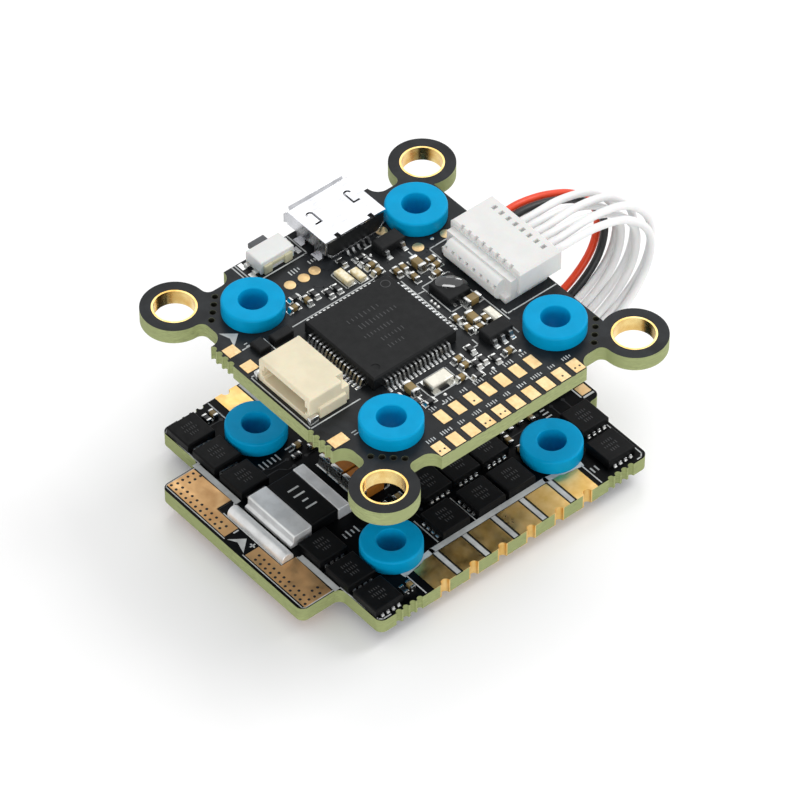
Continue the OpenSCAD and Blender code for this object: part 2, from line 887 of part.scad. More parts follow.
// Places its children at each power transistor, leads towards their +X
module each_fet() {
  for (side = [0, 1])
    mirror([side, 0, 0])
      for (p = fet_at)
        translate([p[0], p[1], esc_top])
          rotate(p[2])
            children();
}

module esc_mosfets() {
  color("#1f2022")
    each_fet()
      package(fet_w, fet_w, fet_h, 0.1);
}

// Four lead ends on one side of each transistor and the drain tab on the other
module esc_mosfet_leads() {
  color("#b9bcbe")
    each_fet() {
      for (i = [0 : 3])
        translate([fet_w / 2, row_at(i, 4, 0.65) - 0.17, 0])
          cube([fet_lead, 0.34, 0.25]);
      translate([-fet_w / 2 - fet_lead, -1.1, 0])
        cube([fet_lead, 2.2, 0.25]);
    }
}

// One processor for each motor
module esc_processors() {
  color("#26272a")
    for (x = [-1.6, 1.6], y = [-1.2, 7.4])
      translate([x, y, esc_top])
        package(3, 3, 0.8);
}

// Gate drivers, between the processors and on the underside
module esc_gate_drivers() {
  color("#2a2b2e") {
    for (x = [-1.6, 1.6])
      translate([x, 3.1, esc_top])
        package(3, 3, 0.8);
    for (x = [-4, 4])
      translate([x, -6, esc_under])
        mirror([0, 0, 1])
          package(3, 3, 0.8);
  }
}

// Bulk capacitors in front of the shunt and a row on the underside
module each_bulk_cap() {
  for (x = [-2.4, -0.7, 1.05, 2.7])
    translate([x, -6.4, esc_top])
      rotate(90)
        children();
  for (x = [-6 : 2 : 6])
    translate([x, -13, esc_under])
      mirror([0, 0, 1])
        rotate(90)
          children();
}

module esc_capacitors() {
  color("#b5732c")
    each_bulk_cap()
      chip_body(3.1, 1.5, 1.2, 0.5);
}

module esc_capacitor_ends() {
  color("#d6d6d2")
    each_bulk_cap()
      chip_caps(3.1, 1.5, 1.2, 0.5);
}

module current_shunt() {
  color("#2b2c2e")
    translate([
      (shunt_x[0] + shunt_x[1]) / 2, (shunt_body_y[0] + shunt_body_y[1]) / 2, esc_top + 0.1
    ])
      package(shunt_x[1] - shunt_x[0] - 0.2, shunt_body_y[1] - shunt_body_y[0], shunt_h - 0.1, 0.15);
}

// Half section of a plate terminal: a foot on the board, then a step up to a flat top
function terminal_section(foot, inner, side) =
  let (h = shunt_h - 0.05)
    [
      [foot, 0], [inner, 0], [inner, h], [foot + side * 0.5, h],
      [foot + side * 0.4, h - 0.15], [foot + side * 0.35, 0.55], [foot, 0.45]
    ];

module shunt_terminals() {
  color("#dfe0e0")
    translate([shunt_x[0], 0, esc_top])
      rotate([90, 0, 90])
        linear_extrude(shunt_x[1] - shunt_x[0]) {
          polygon(terminal_section(shunt_y[0], shunt_body_y[0], 1));
          polygon(terminal_section(shunt_y[1], shunt_body_y[1], -1));
        }
}

// Tinned bar with a rounded top along the shunt's battery side
module bus_bar() {
  half = 0.7;
  color("#e4e4e2")
    translate([-3.5, -18.2, esc_top])
      rotate([90, 0, 90])
        linear_extrude(8.25)
          polygon(concat([[-half, 0], [half, 0]], arc([0, 0.25], half, 0, 180, 10)));
}

// ---- Harness wires ----

function wire_point(i, k) = [
  row_at(i, harness_contacts, contact_pitch) + wire_lean[i] * wire_share[k],
  wire_route[k][0] + wire_reach[i] * wire_share[k],
  wire_route[k][1] + wire_lift[i] * wire_lift_share[k]
];

// Direction of the route at point k, from its neighbours
function wire_dir(i, k) =
  let (
    a = wire_point(i, max(k - 1, 0)),
    b = wire_point(i, min(k + 1, len(wire_route) - 1)),
    d = b - a
  )
    k == 0 || k == len(wire_route) - 1 ? [0, d[1] > 0 ? 1 : -1, 0] : d / norm(d);

// A ring of points about point k, square to the route
function wire_ring(i, k) =
  let (t = wire_dir(i, k), u = cross(t, [1, 0, 0]), v = u / norm(u), w = cross(t, v))
    [for (j = [0 : wire_sides - 1])
      wire_point(i, k) + wire_d / 2 * (v * cos(j * 360 / wire_sides) + w * sin(j * 360 / wire_sides))];

module wire(i) {
  n = wire_sides;
  last = len(wire_route) - 1;
  polyhedron(
    points = [for (k = [0 : last]) each wire_ring(i, k)],
    faces = concat(
      [[for (j = [0 : n - 1]) j]],
      [for (k = [0 : last - 1], j = [0 : n - 1])
        [k * n + j, (k + 1) * n + j, (k + 1) * n + (j + 1) % n, k * n + (j + 1) % n]],
      [[for (j = [n - 1 : -1 : 0]) last * n + j]]
    )
  );
}

module wire_power() {
  color("#e23a10") wire(0);
}
module wire_ground() {
  color("#1c1c1e") wire(1);
}
module wire_signal(i) {
  color("#f1f1ef") wire(i + 1);
}

fc_board();
fc_ring_plating();
fc_solder_pads();
mcu_package();
mcu_leads();
gyro_sensor();
fc_crystal();
fc_leds();
fc_regulators();
fc_regulator_leads();
fc_capacitors();
fc_resistors();
fc_chip_ends();
fc_underside_chips();
fc_underside_leads();
usb_shell();
usb_insert();
usb_contacts();
button_housing();
button_plunger();
button_dome();
button_terminals();
receiver_socket();
receiver_contacts();
receiver_solder_tabs();
fc_harness_header();
fc_harness_pins();
fc_harness_plug();
grommet(0, fc_top - board_t / 2);  // fc_grommet_1
grommet(1, fc_top - board_t / 2);  // fc_grommet_2
grommet(2, fc_top - board_t / 2);  // fc_grommet_3
grommet(3, fc_top - board_t / 2);  // fc_grommet_4
esc_board();
battery_pads();
motor_pads();
esc_mosfets();
esc_mosfet_leads();
esc_processors();
esc_gate_drivers();
esc_capacitors();
esc_capacitor_ends();
current_shunt();
shunt_terminals();
bus_bar();
esc_harness_header();
esc_harness_pins();
esc_harness_plug();
grommet(0, esc_top - board_t / 2);  // esc_grommet_1
grommet(1, esc_top - board_t / 2);  // esc_grommet_2
grommet(2, esc_top - board_t / 2);  // esc_grommet_3
grommet(3, esc_top - board_t / 2);  // esc_grommet_4
wire_power();
wire_ground();
wire_signal(1);  // wire_signal_1
wire_signal(2);  // wire_signal_2
wire_signal(3);  // wire_signal_3
wire_signal(4);  // wire_signal_4
wire_signal(5);  // wire_signal_5
wire_signal(6);  // wire_signal_6
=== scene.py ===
import math
import random

import bmesh
import bpy
from mathutils import Matrix, Vector


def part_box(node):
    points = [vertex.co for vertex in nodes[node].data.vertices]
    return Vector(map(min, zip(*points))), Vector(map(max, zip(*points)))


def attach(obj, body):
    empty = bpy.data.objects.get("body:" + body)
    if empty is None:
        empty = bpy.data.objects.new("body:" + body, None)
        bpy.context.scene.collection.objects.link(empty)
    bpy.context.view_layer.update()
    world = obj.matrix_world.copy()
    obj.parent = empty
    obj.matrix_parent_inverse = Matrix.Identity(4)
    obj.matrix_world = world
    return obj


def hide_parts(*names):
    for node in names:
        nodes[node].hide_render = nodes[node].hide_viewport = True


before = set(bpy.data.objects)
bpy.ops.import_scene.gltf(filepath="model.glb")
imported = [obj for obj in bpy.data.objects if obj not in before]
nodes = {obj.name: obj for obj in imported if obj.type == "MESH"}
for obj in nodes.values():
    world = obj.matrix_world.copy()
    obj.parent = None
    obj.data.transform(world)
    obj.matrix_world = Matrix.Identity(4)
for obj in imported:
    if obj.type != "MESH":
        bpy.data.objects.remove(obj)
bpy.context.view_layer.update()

MM = 0.001
STACK = "stack"
BUTTON = "boot_button"


def top_of(node):
    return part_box(node)[1].z / MM


def foot_of(node):
    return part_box(node)[0].z / MM


# Heights, in mm, of the two faces of the upper board (FC) and of the lower one (ESC)
FC = top_of("fc_board")
ESC = top_of("esc_board")
FC_UNDER = foot_of("fc_board")
ESC_UNDER = foot_of("esc_board")

# Thicknesses of what is printed or laid on the boards, in mm
INK = 0.02
GAP_H = 0.015
PAD_H = 0.05
DOT_H = 0.006

# ---------------------------------------------------------------- camera

CAMERA_AT = (0.2822, -0.2397, 0.3885)
LENS = 251.7

camera_data = bpy.data.cameras.new("camera")
camera_data.sensor_width = 36
camera_data.lens = LENS
camera_data.clip_start = 0.01
camera_data.clip_end = 10
camera = bpy.data.objects.new("camera", camera_data)
bpy.context.scene.collection.objects.link(camera)
right = Vector((0.6466, 0.7628, 0)).normalized()
back = Vector((0.5327, -0.4516, 0.7157)).normalized()
up = back.cross(right).normalized()
right = up.cross(back)
turn = Matrix((right, up, back)).transposed().to_4x4()
camera.matrix_world = Matrix.Translation(CAMERA_AT) @ turn
bpy.context.scene.camera = camera

# ---------------------------------------------------------------- materials


class Shader:
    """A Principled material with its texture nodes in object coordinates (metres)."""

    def __init__(self, name, color, rough, metal=0.0, spec=0.5):
        self.m = bpy.data.materials.new(name)
        self.m.use_nodes = True
        self.t = self.m.node_tree
        self.n = self.t.nodes
        self.p = self.n["Principled BSDF"]
        self.p.inputs["Base Color"].default_value = (*color, 1)
        self.p.inputs["Roughness"].default_value = rough
        self.p.inputs["Metallic"].default_value = metal
        self.p.inputs["Specular IOR Level"].default_value = spec
        self.m.diffuse_color = (*color, 1)
        self.color = color
        self.height = None
        self.where = self.n.new("ShaderNodeTexCoord").outputs["Object"]

    def set(self, **sockets):
        """Sets uniform sockets by name, with _ for each space."""
        for key, value in sockets.items():
            self.p.inputs[key.replace("_", " ")].default_value = value
        return self

    def link(self, a, b):
        self.t.links.new(a, b)

    def noise(self, size, detail=3.0, rough=0.55, stretch=(1, 1, 1)):
        """Noise whose features are about size mm wide."""
        n = self.n.new("ShaderNodeTexNoise")
        m = self.n.new("ShaderNodeMapping")
        m.inputs["Scale"].default_value = [s / (size * MM) for s in stretch]
        n.inputs["Scale"].default_value = 1
        n.inputs["Detail"].default_value = detail
        n.inputs["Roughness"].default_value = rough
        self.link(self.where, m.inputs["Vector"])
        self.link(m.outputs["Vector"], n.inputs["Vector"])
        return n.outputs["Fac"]

    def spread(self, fac, a, b, low=0.0, high=1.0):
        """Maps fac from [a, b] to [low, high]."""
        r = self.n.new("ShaderNodeMapRange")
        r.inputs["From Min"].default_value = a
        r.inputs["From Max"].default_value = b
        r.inputs["To Min"].default_value = low
        r.inputs["To Max"].default_value = high
        self.link(fac, r.inputs["Value"])
        return r.outputs["Result"]

    def mix(self, fac, a, b):
        """Mixes two colours or colour sockets."""
        m = self.n.new("ShaderNodeMix")
        m.data_type = "RGBA"
        for sock, value in ((m.inputs[6], a), (m.inputs[7], b)):
            if isinstance(value, tuple):
                sock.default_value = (*value, 1)
            else:
                self.link(value, sock)
        self.link(fac, m.inputs[0])
        return m.outputs[2]

    def math(self, op, a, b):
        m = self.n.new("ShaderNodeMath")
        m.operation = op
        for sock, value in zip(m.inputs, (a, b)):
            if isinstance(value, (int, float)):
                sock.default_value = value
            else:
                self.link(value, sock)
        return m.outputs[0]

    def paint(self, socket):
        self.link(socket, self.p.inputs["Base Color"])
        return self

    def roughen(self, fac, low, high, a=0.3, b=0.7):
        """Drives the roughness from low to high as fac goes from a to b."""
        self.link(self.spread(fac, a, b, low, high), self.p.inputs["Roughness"])
        return self

    def bump(self, fac, strength, depth):
        """Adds fac as a bump of depth mm."""
        b = self.n.new("ShaderNodeBump")
        b.inputs["Strength"].default_value = strength
        b.inputs["Distance"].default_value = depth * MM
        self.link(fac, b.inputs["Height"])
        if self.height:
            self.link(self.height, b.inputs["Normal"])
        self.height = b.outputs["Normal"]
        self.link(self.height, self.p.inputs["Normal"])
        return self

    def mottle(self, size, amount, other=None):
        """Varies the base colour by noise size mm wide, towards other or a tone darker by amount."""
        dark = other or darker(self.color, 1 - amount)
        return self.paint(self.mix(self.spread(self.noise(size), 0.35, 0.65), self.color, dark))


def darker(color, keep):
    return tuple(c * keep for c in color)


def lin(code):
    """A hex sRGB colour as linear values."""
    v = [int(code[i:i + 2], 16) / 255 for i in (1, 3, 5)]
    return tuple(c / 12.92 if c <= 0.04045 else ((c + 0.055) / 1.055) ** 2.4 for c in v)


def solder_mask(name, dark, pour, edge, gloss):
    """Satin mask on the flat faces, with copper pours showing, and fibre laminate on the cut edges."""
    s = Shader(name, dark, 0.4, spec=gloss)
    geo = s.n.new("ShaderNodeNewGeometry")
    xyz = s.n.new("ShaderNodeSeparateXYZ")
    s.link(geo.outputs["True Normal"], xyz.inputs[0])
    flat = s.math("GREATER_THAN", s.math("ABSOLUTE", xyz.outputs[2], 0), 0.6)
    pours = s.spread(s.noise(5.5, 1.5), 0.48, 0.52)
    stains = s.spread(s.noise(0.5), 0.3, 0.75, 0, 0.5)
    face = s.mix(stains, s.mix(pours, dark, pour), darker(dark, 0.6))
    fibre = s.noise(0.7, 4, 0.7, (1, 1, 7))
    side = s.mix(s.spread(fibre, 0.35, 0.65), edge, darker(edge, 0.62))
    side = s.mix(s.spread(s.noise(2.5, 2), 0.4, 0.7), side, darker(edge, 0.8))
    s.paint(s.mix(flat, side, face))
    rough = s.spread(s.noise(1.2), 0.3, 0.7, 0.3, 0.42)
    matt_edge = s.spread(flat, 0, 1, 0.28, 0)
    s.link(s.math("ADD", rough, matt_edge), s.p.inputs["Roughness"])
    s.bump(s.noise(0.35), 0.25, 0.02)
    s.bump(fibre, 0.25, 0.02)
    return s.m


def moulded(name, color, rough, grain=0.12, deep=0.3, spec=0.5, amount=0.12):
    """A moulded or fired surface: a mottled colour and a fine bump of grain mm."""
    s = Shader(name, color, rough, spec=spec).mottle(1.8, amount)
    s.roughen(s.noise(0.6), rough - 0.06, rough + 0.08)
    return s.bump(s.noise(grain), deep, 0.02)


def metal(name, color, rough, scratch=(1, 14, 1), size=0.9, other=None, deep=0.3, shine=1.0):
    """Metal with marks about size mm wide, shortened along each axis by scratch."""
    s = Shader(name, color, rough, metal=shine)
    s.mottle(1.6, 0.18, other)
    lines = s.noise(size, 4, 0.6, scratch)
    s.roughen(lines, rough * 0.75, rough * 1.35)
    return s.bump(lines, deep, 0.012)


MASK = solder_mask("fc_solder_mask", lin("#17191b"), lin("#212427"), lin("#a5ae78"), 0.2)
ESC_MASK = solder_mask("esc_solder_mask", lin("#030405"), lin("#0a0b0d"), lin("#a5ae78"), 0.08)
SILK = moulded("silk_ink", lin("#c9cccb"), 0.55, 0.06, 0.3, amount=0.3).m
FAINT = moulded("laser_mark", lin("#4a4b4c"), 0.7, 0.05, 0.3, 0.2).m
TRACE = Shader("masked_copper", lin("#1d1f22"), 0.4, spec=0.3).mottle(0.8, 0.25).m
SLOT_DARK = moulded("dark_gap", lin("#15120c"), 0.6).m
GOLD = metal("ring_gold", lin("#f1d794"), 0.22, (1, 1, 10), 0.5, lin("#d9ae62")).m
PAD = metal("pad_gold", lin("#eacf9f"), 0.42, (1, 1, 1), 0.3, lin("#e4c18b"), 0.15).m
PAD_WARM = metal("battery_pad_gold", lin("#e3ba86"), 0.5, (1, 1, 1), 1.2, lin("#dbae7a"), 0.015).m
PAD_BRASS = metal("motor_pad_gold", lin("#f0cd8a"), 0.36, (1, 1, 1), 1.5, lin("#e0b768"), 0.04).m
TIN = metal("solder_tin", lin("#d9dad8"), 0.24, (1, 1, 1), 0.25, deep=0.5).m
LEAD = metal("tinned_lead", lin("#c8cacb"), 0.3, (1, 1, 1), 0.2).m
SHUNT_TIN = metal("shunt_tin", lin("#f4f5f5"), 0.4, (1, 9, 1), 0.9, lin("#dfe0e0"), 0.5, 0.5).m
NICKEL = metal("socket_nickel", lin("#cfd0d4"), 0.24, (9, 1, 1), 1.2, lin("#bfc0c4"), 0.15).m
CONTACT = metal("contact_gold", lin("#e1c27a"), 0.3, (1, 1, 1), 0.3).m
CRYSTAL = metal("crystal_can", lin("#d5d2c6"), 0.34, (1, 6, 1), 0.5).m
CHIP = moulded("chip_epoxy", lin("#18191a"), 0.52, 0.07, 0.45, 0.2, 0.2).m
FET = moulded("transistor_epoxy", lin("#0b0c0d"), 0.45, 0.09, 0.5, 0.14, 0.25).m
CERAMIC = moulded("capacitor_ceramic", lin("#8d7748"), 0.45, 0.1, 0.4, amount=0.3).m
ORANGE = moulded("bulk_ceramic", lin("#a9681f"), 0.45, 0.15, 0.4, amount=0.3).m
RESISTOR = moulded("resistor_glaze", lin("#191a1b"), 0.3, 0.15, 0.2).m
LED = Shader("led_resin", lin("#f1ead2"), 0.18, spec=0.6)
LED = LED.mottle(0.5, 0.2, lin("#d9c48a")).bump(LED.noise(0.3), 0.2, 0.02).m
BLACK = moulded("black_nylon", lin("#121314"), 0.5, spec=0.3).m
DARK_GREY = moulded("button_nylon", lin("#4b4d50"), 0.45).m
CREAM = moulded("cream_nylon", lin("#e2d8bc"), 0.42, 0.25, 0.2, 0.3, 0.08)
CREAM = CREAM.set(Subsurface_Weight=0.12, Subsurface_Scale=0.0006).m
WHITE = moulded("white_nylon", lin("#dfdfdd"), 0.42, 0.3, 0.2, 0.3, 0.05)
WHITE = WHITE.set(Subsurface_Weight=0.15, Subsurface_Scale=0.0008).m
BLUE = moulded("blue_silicone", lin("#009bce"), 0.45, 0.2, 0.2, 0.08, 0.08)
BLUE = BLUE.set(Subsurface_Weight=0.04, Subsurface_Scale=0.0006).m
RED_WIRE = moulded("red_silicone", lin("#ee4317"), 0.42, 0.3, 0.2, amount=0.1).m
BLACK_WIRE = moulded("black_silicone", lin("#1b1c1e"), 0.42, 0.3, 0.2).m
WHITE_WIRE = moulded("white_silicone", lin("#ececec"), 0.42, 0.3, 0.2, amount=0.05)
WHITE_WIRE = WHITE_WIRE.set(Subsurface_Weight=0.1, Subsurface_Scale=0.0005).m

# ---------------------------------------------------------------- mesh tools


def smooth(obj, angle=38):
    """Smooth shading with edges over angle degrees kept sharp."""
    bm = bmesh.new()
    bm.from_mesh(obj.data)
    for f in bm.faces:
        f.smooth = True
    for e in bm.edges:
        if len(e.link_faces) == 2:
            e.smooth = e.calc_face_angle(0) < math.radians(angle)
    bm.to_mesh(obj.data)
    bm.free()


def apply_modifiers(obj):
    """Gives the object the mesh that its modifiers make."""
    bpy.context.view_layer.update()
    graph = bpy.context.evaluated_depsgraph_get()
    done = bpy.data.meshes.new_from_object(obj.evaluated_get(graph))
    obj.modifiers.clear()
    obj.data = done


def place(obj, material, body=STACK, stands_for=()):
    """Finishes a piece: its material, its body and the CAD nodes that it is shown for."""
    obj.data.materials.clear()
    obj.data.materials.append(material)
    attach(obj, body)
    if stands_for:
        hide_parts(*stands_for)


def link_mesh(bm, name, scale=MM):
    """Makes a linked object of a bmesh, which is in mm unless scale says otherwise."""
    if scale != 1:
        bmesh.ops.scale(bm, vec=(scale, scale, scale), verts=bm.verts)
    mesh = bpy.data.meshes.new(name)
    bm.to_mesh(mesh)
    bm.free()
    obj = bpy.data.objects.new(name, mesh)
    bpy.context.scene.collection.objects.link(obj)
    return obj


def bevel(obj, width, segments, angle=35):
    """Rounds the edges over angle degrees to width mm, and keeps the flat faces flat."""
    m = obj.modifiers.new("edges", "BEVEL")
    m.width = width * MM
    m.segments = segments
    m.limit_method = "ANGLE"
    m.angle_limit = math.radians(angle)
    m.use_clamp_overlap = True
    apply_modifiers(obj)
    smooth(obj)
    flat = obj.modifiers.new("flat_faces", "WEIGHTED_NORMAL")
    flat.keep_sharp = True
    apply_modifiers(obj)


def softened(node, width, material, body=STACK, segments=2):
    """A copy of a CAD node with its edges rounded, shown in the node's place."""
    bm = bmesh.new()
    bm.from_mesh(nodes[node].data)
    bmesh.ops.remove_doubles(bm, verts=bm.verts, dist=1e-7)
    bmesh.ops.dissolve_limit(bm, angle_limit=math.radians(1), verts=bm.verts, edges=bm.edges)
    bmesh.ops.recalc_face_normals(bm, faces=bm.faces)
    obj = link_mesh(bm, node + "_finished", 1)
    bevel(obj, width, segments)
    place(obj, material, body, (node,))


class Sketch:
    """Collects small solids, in mm, into one piece."""

    def __init__(self):
        self.bm = bmesh.new()

    def box(self, x, y, z, w, d, h, angle=0.0):
        """A block centred on x, y that stands on z."""
        m = Matrix.Translation((x, y, z + h / 2)) @ Matrix.Rotation(math.radians(angle), 4, "Z")
        bmesh.ops.create_cube(self.bm, size=1, matrix=m @ Matrix.Diagonal((w, d, h, 1)))

    def line(self, a, b, w, z, h=INK):
        """A bar w wide from a to b, with half its width past each end."""
        d = Vector(b) - Vector(a)
        mid = (Vector(a) + Vector(b)) / 2
        self.box(mid.x, mid.y, z, d.length + w, w, h, math.degrees(math.atan2(d.y, d.x)))

    def path(self, points, w, z, h=INK):
        for a, b in zip(points, points[1:]):
            self.line(a, b, w, z, h)

    def frame(self, x0, y0, x1, y1, w, z, h=INK):
        self.path([(x0, y0), (x1, y0), (x1, y1), (x0, y1), (x0, y0)], w, z, h)

    def disc(self, x, y, z, r, h, n=20, top=None):
        """A disc, or a cone that narrows to radius top."""
        m = Matrix.Translation((x, y, z + h / 2))
        bmesh.ops.create_cone(
            self.bm, cap_ends=True, segments=n, radius1=r, radius2=r if top is None else top,
            depth=h, matrix=m)

    def ring(self, x, y, z, r0, r1, h, n=24):
        """A washer from radius r0 to r1."""
        loops = []
        for r, zz in ((r0, z), (r1, z), (r1, z + h), (r0, z + h)):
            loops.append([
                self.bm.verts.new((x + r * math.cos(2 * math.pi * k / n),
                                   y + r * math.sin(2 * math.pi * k / n), zz))
                for k in range(n)])
        for a, b in zip(loops, loops[1:] + loops[:1]):
            for k in range(n):
                self.bm.faces.new((a[k], a[(k + 1) % n], b[(k + 1) % n], b[k]))

    def plate(self, points, z, h):
        """A flat plate with the given outline."""
        low = [self.bm.verts.new((x, y, z)) for x, y in points]
        high = [self.bm.verts.new((x, y, z + h)) for x, y in points]
        n = len(points)
        self.bm.faces.new(low[::-1])
        self.bm.faces.new(high)
        for k in range(n):
            self.bm.faces.new((low[k], low[(k + 1) % n], high[(k + 1) % n], high[k]))

    def wedge(self, x, y, z, w, d, h, angle):
        """A concave solder fillet: its tall side at x, y, running out d along angle."""
        n = 4
        sag = 1.8
        turn = Matrix.Translation((x, y, z)) @ Matrix.Rotation(math.radians(angle), 4, "Z")
        side = [(0, 0)] + [(d * k / n, h * (1 - k / n) ** sag) for k in range(n + 1)][::-1]
        rows = []
        for s in (-0.5, 0.5):
            rows.append([self.bm.verts.new(turn @ Vector((a, s * w, b))) for a, b in side])
        a, b = rows
        self.bm.faces.new(a[::-1])
        self.bm.faces.new(b)
        for k in range(len(side)):
            j = (k + 1) % len(side)
            self.bm.faces.new((a[k], a[j], b[j], b[k]))

    def marks(self, x, y, z, count, angle, tall, pitch, w, h, seed):
        """A row of plain bars of mixed height, standing in for a printed label."""
        rng = random.Random(seed)
        c, s = math.cos(math.radians(angle)), math.sin(math.radians(angle))
        for k in range(count):
            along = (k - (count - 1) / 2) * pitch
            t = tall * rng.choice((1, 1, 0.6, 0.8))
            self.box(x + along * c, y + along * s, z, w, t, h, angle)

    def done(self, name, material, slot, rounding=0.0, segments=2):
        """Makes the piece of everything drawn so far."""
        bmesh.ops.recalc_face_normals(self.bm, faces=self.bm.faces)
        obj = link_mesh(self.bm, name)
        if rounding:
            bevel(obj, rounding, segments)
        else:
            smooth(obj)
        place(obj, material)


def lathe(name, section, x, y, z, n=96):
    """Turns a closed section of (radius, height) about the vertical line through x, y, z."""
    bm = bmesh.new()
    loops = [[
        bm.verts.new((x + r * math.cos(2 * math.pi * k / n),
                      y + r * math.sin(2 * math.pi * k / n), z + h))
        for k in range(n)] for r, h in section]
    for a, b in zip(loops, loops[1:] + loops[:1]):
        for k in range(n):
            bm.faces.new((a[k], a[(k + 1) % n], b[(k + 1) % n], b[k]))
    bmesh.ops.recalc_face_normals(bm, faces=bm.faces)
    return link_mesh(bm, name)


def arc(cx, cz, r, a0, a1, n):
    """n + 1 points on an arc from a0 to a1 degrees."""
    return [(cx + r * math.cos(math.radians(a0 + (a1 - a0) * k / n)),
             cz + r * math.sin(math.radians(a0 + (a1 - a0) * k / n))) for k in range(n + 1)]


# ---------------------------------------------------------------- harness wires

PLUG_END = 15.2
WIRE_Z = 1.7
WIRE_R = 0.4
CONTACT_PITCH = 1
# How far further out than the upper plug the lower plug ends
SHIFT = 2.8
# How far a wire runs on inside its plug
TAIL = Vector((0, 0.7, 0))
# The shared route from the upper plug round to the lower one, as (y, z)
route = [
    (PLUG_END, FC + WIRE_Z), (17.4, FC + WIRE_Z), (20.8, 20.6), (24.6, 18.6), (27.4, 15.4),
    (28.1, 12.4), (27.2, 9.2), (24.6, 6.8), (21, 5.3), (PLUG_END + SHIFT, ESC + WIRE_Z),
]
# How much of a wire's own lean and reach, and of its lift, each point of the route takes
share = [0, 0, 0.4, 0.8, 1, 1, 1, 0.6, 0.2, 0]
lift_share = [0, 0, 0.6, 1, 0.8, 0.3, 0, 0, 0, 0]
# Sideways lean, outward reach and lift of each wire's loop
lean = [0, 0.1, -0.4, -0.3, -0.9, -0.6, -1.2, -1.3]
reach = [-0.5, -0.6, 0.5, 0.1, 1.4, 0.6, 2.1, 1.3]
lift = [0, 0, 0.9, 0.1, 1, 0.1, 0.8, 0]
wires = [("wire_power", RED_WIRE, "red_wire"), ("wire_ground", BLACK_WIRE, "black_wire")]
wires += [(f"wire_signal_{k}", WHITE_WIRE, "white_wire") for k in range(1, 7)]


def catmull(points, steps):
    """A smooth curve through the points."""
    p = [points[0]] + points + [points[-1]]
    out = []
    for k in range(1, len(p) - 2):
        a, b, c, d = p[k - 1:k + 3]
        for s in range(steps):
            t = s / steps
            out.append(0.5 * (
                2 * b + (c - a) * t + (2 * a - 5 * b + 4 * c - d) * t * t
                + (3 * b - a - 3 * c + d) * t ** 3))
    return out + [points[-1]]


def tube(name, points, r, sides=20):
    """A round tube with closed ends along points that stay near a plane of constant X."""
    bm = bmesh.new()
    rings = []
    for k, p in enumerate(points):
        t = (points[min(k + 1, len(points) - 1)] - points[max(k - 1, 0)]).normalized()
        u = t.cross(Vector((1, 0, 0))).normalized()
        v = t.cross(u)
        rings.append([bm.verts.new(
            p + r * (u * math.cos(2 * math.pi * j / sides) + v * math.sin(2 * math.pi * j / sides)))
            for j in range(sides)])
    for a, b in zip(rings, rings[1:]):
        for j in range(sides):
            bm.faces.new((a[j], a[(j + 1) % sides], b[(j + 1) % sides], b[j]))
    bm.faces.new(rings[0])
    bm.faces.new(rings[-1][::-1])
    bmesh.ops.recalc_face_normals(bm, faces=bm.faces)
    obj = link_mesh(bm, name)
    smooth(obj, 50)
    return obj


for i, (wire, material, wire_slot) in enumerate(wires):
    x = (i - (len(wires) - 1) / 2) * CONTACT_PITCH
    pts = [Vector((x + lean[i] * share[k], y + reach[i] * share[k], z + lift[i] * lift_share[k]))
           for k, (y, z) in enumerate(route)]
    pts = [pts[0] - TAIL] + pts + [pts[-1] - TAIL]
    strand = tube(wire + "_tube", catmull(pts, 6), WIRE_R)
    place(strand, material, stands_for=(wire,))

# ---------------------------------------------------------------- boards

for name, material in (
        ("fc_board", MASK), ("esc_board", ESC_MASK), ("fc_ring_plating", GOLD),
        ("mcu_leads", LEAD), ("fc_regulator_leads", LEAD), ("fc_underside_leads", LEAD),
        ("usb_contacts", LEAD), ("button_dome", LEAD), ("receiver_contacts", CONTACT),
        ("fc_harness_pins", CONTACT), ("esc_harness_pins", CONTACT), ("motor_pads", PAD_BRASS)):
    mesh = nodes[name].data
    mesh.materials.clear()
    mesh.materials.append(material)

softened("fc_solder_pads", 0.02, PAD)
softened("battery_pads", 0.02, PAD_WARM)

# ---------------------------------------------------------------- packages and plastics

softened("mcu_package", 0.05, CHIP)
softened("gyro_sensor", 0.04, CHIP)
softened("fc_regulators", 0.04, CHIP)
softened("fc_underside_chips", 0.05, CHIP)
softened("esc_mosfets", 0.05, FET)
softened("esc_processors", 0.04, CHIP)
softened("esc_gate_drivers", 0.04, CHIP)
softened("fc_crystal", 0.08, CRYSTAL)
softened("fc_leds", 0.05, LED)
softened("fc_capacitors", 0.03, CERAMIC)
softened("fc_resistors", 0.02, RESISTOR)
softened("fc_chip_ends", 0.05, TIN)
softened("esc_capacitors", 0.05, ORANGE)
softened("esc_capacitor_ends", 0.1, TIN)
softened("esc_mosfet_leads", 0.03, LEAD)
softened("current_shunt", 0.06, FET)
softened("shunt_terminals", 0.12, SHUNT_TIN, segments=3)
softened("bus_bar", 0.1, SHUNT_TIN, segments=3)
softened("usb_shell", 0.08, NICKEL)
softened("usb_insert", 0.05, BLACK)
softened("button_housing", 0.08, WHITE)
softened("button_plunger", 0.08, DARK_GREY, BUTTON)
softened("button_terminals", 0.05, TIN)
softened("receiver_socket", 0.12, CREAM, segments=3)
softened("receiver_solder_tabs", 0.06, TIN)
for side in ("fc", "esc"):
    softened(side + "_harness_header", 0.08, WHITE)
    softened(side + "_harness_plug", 0.06, WHITE)

# ---------------------------------------------------------------- grommets

low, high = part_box("fc_grommet_1")
FLANGE_R = (high.x - low.x) / 2 / MM
BORE_R = 1.4
WAIST_R = 2.0
HALF_H = 2.4
HALF_WAIST = 0.8
# The height where the flange's side is widest
BELLY = 1.5
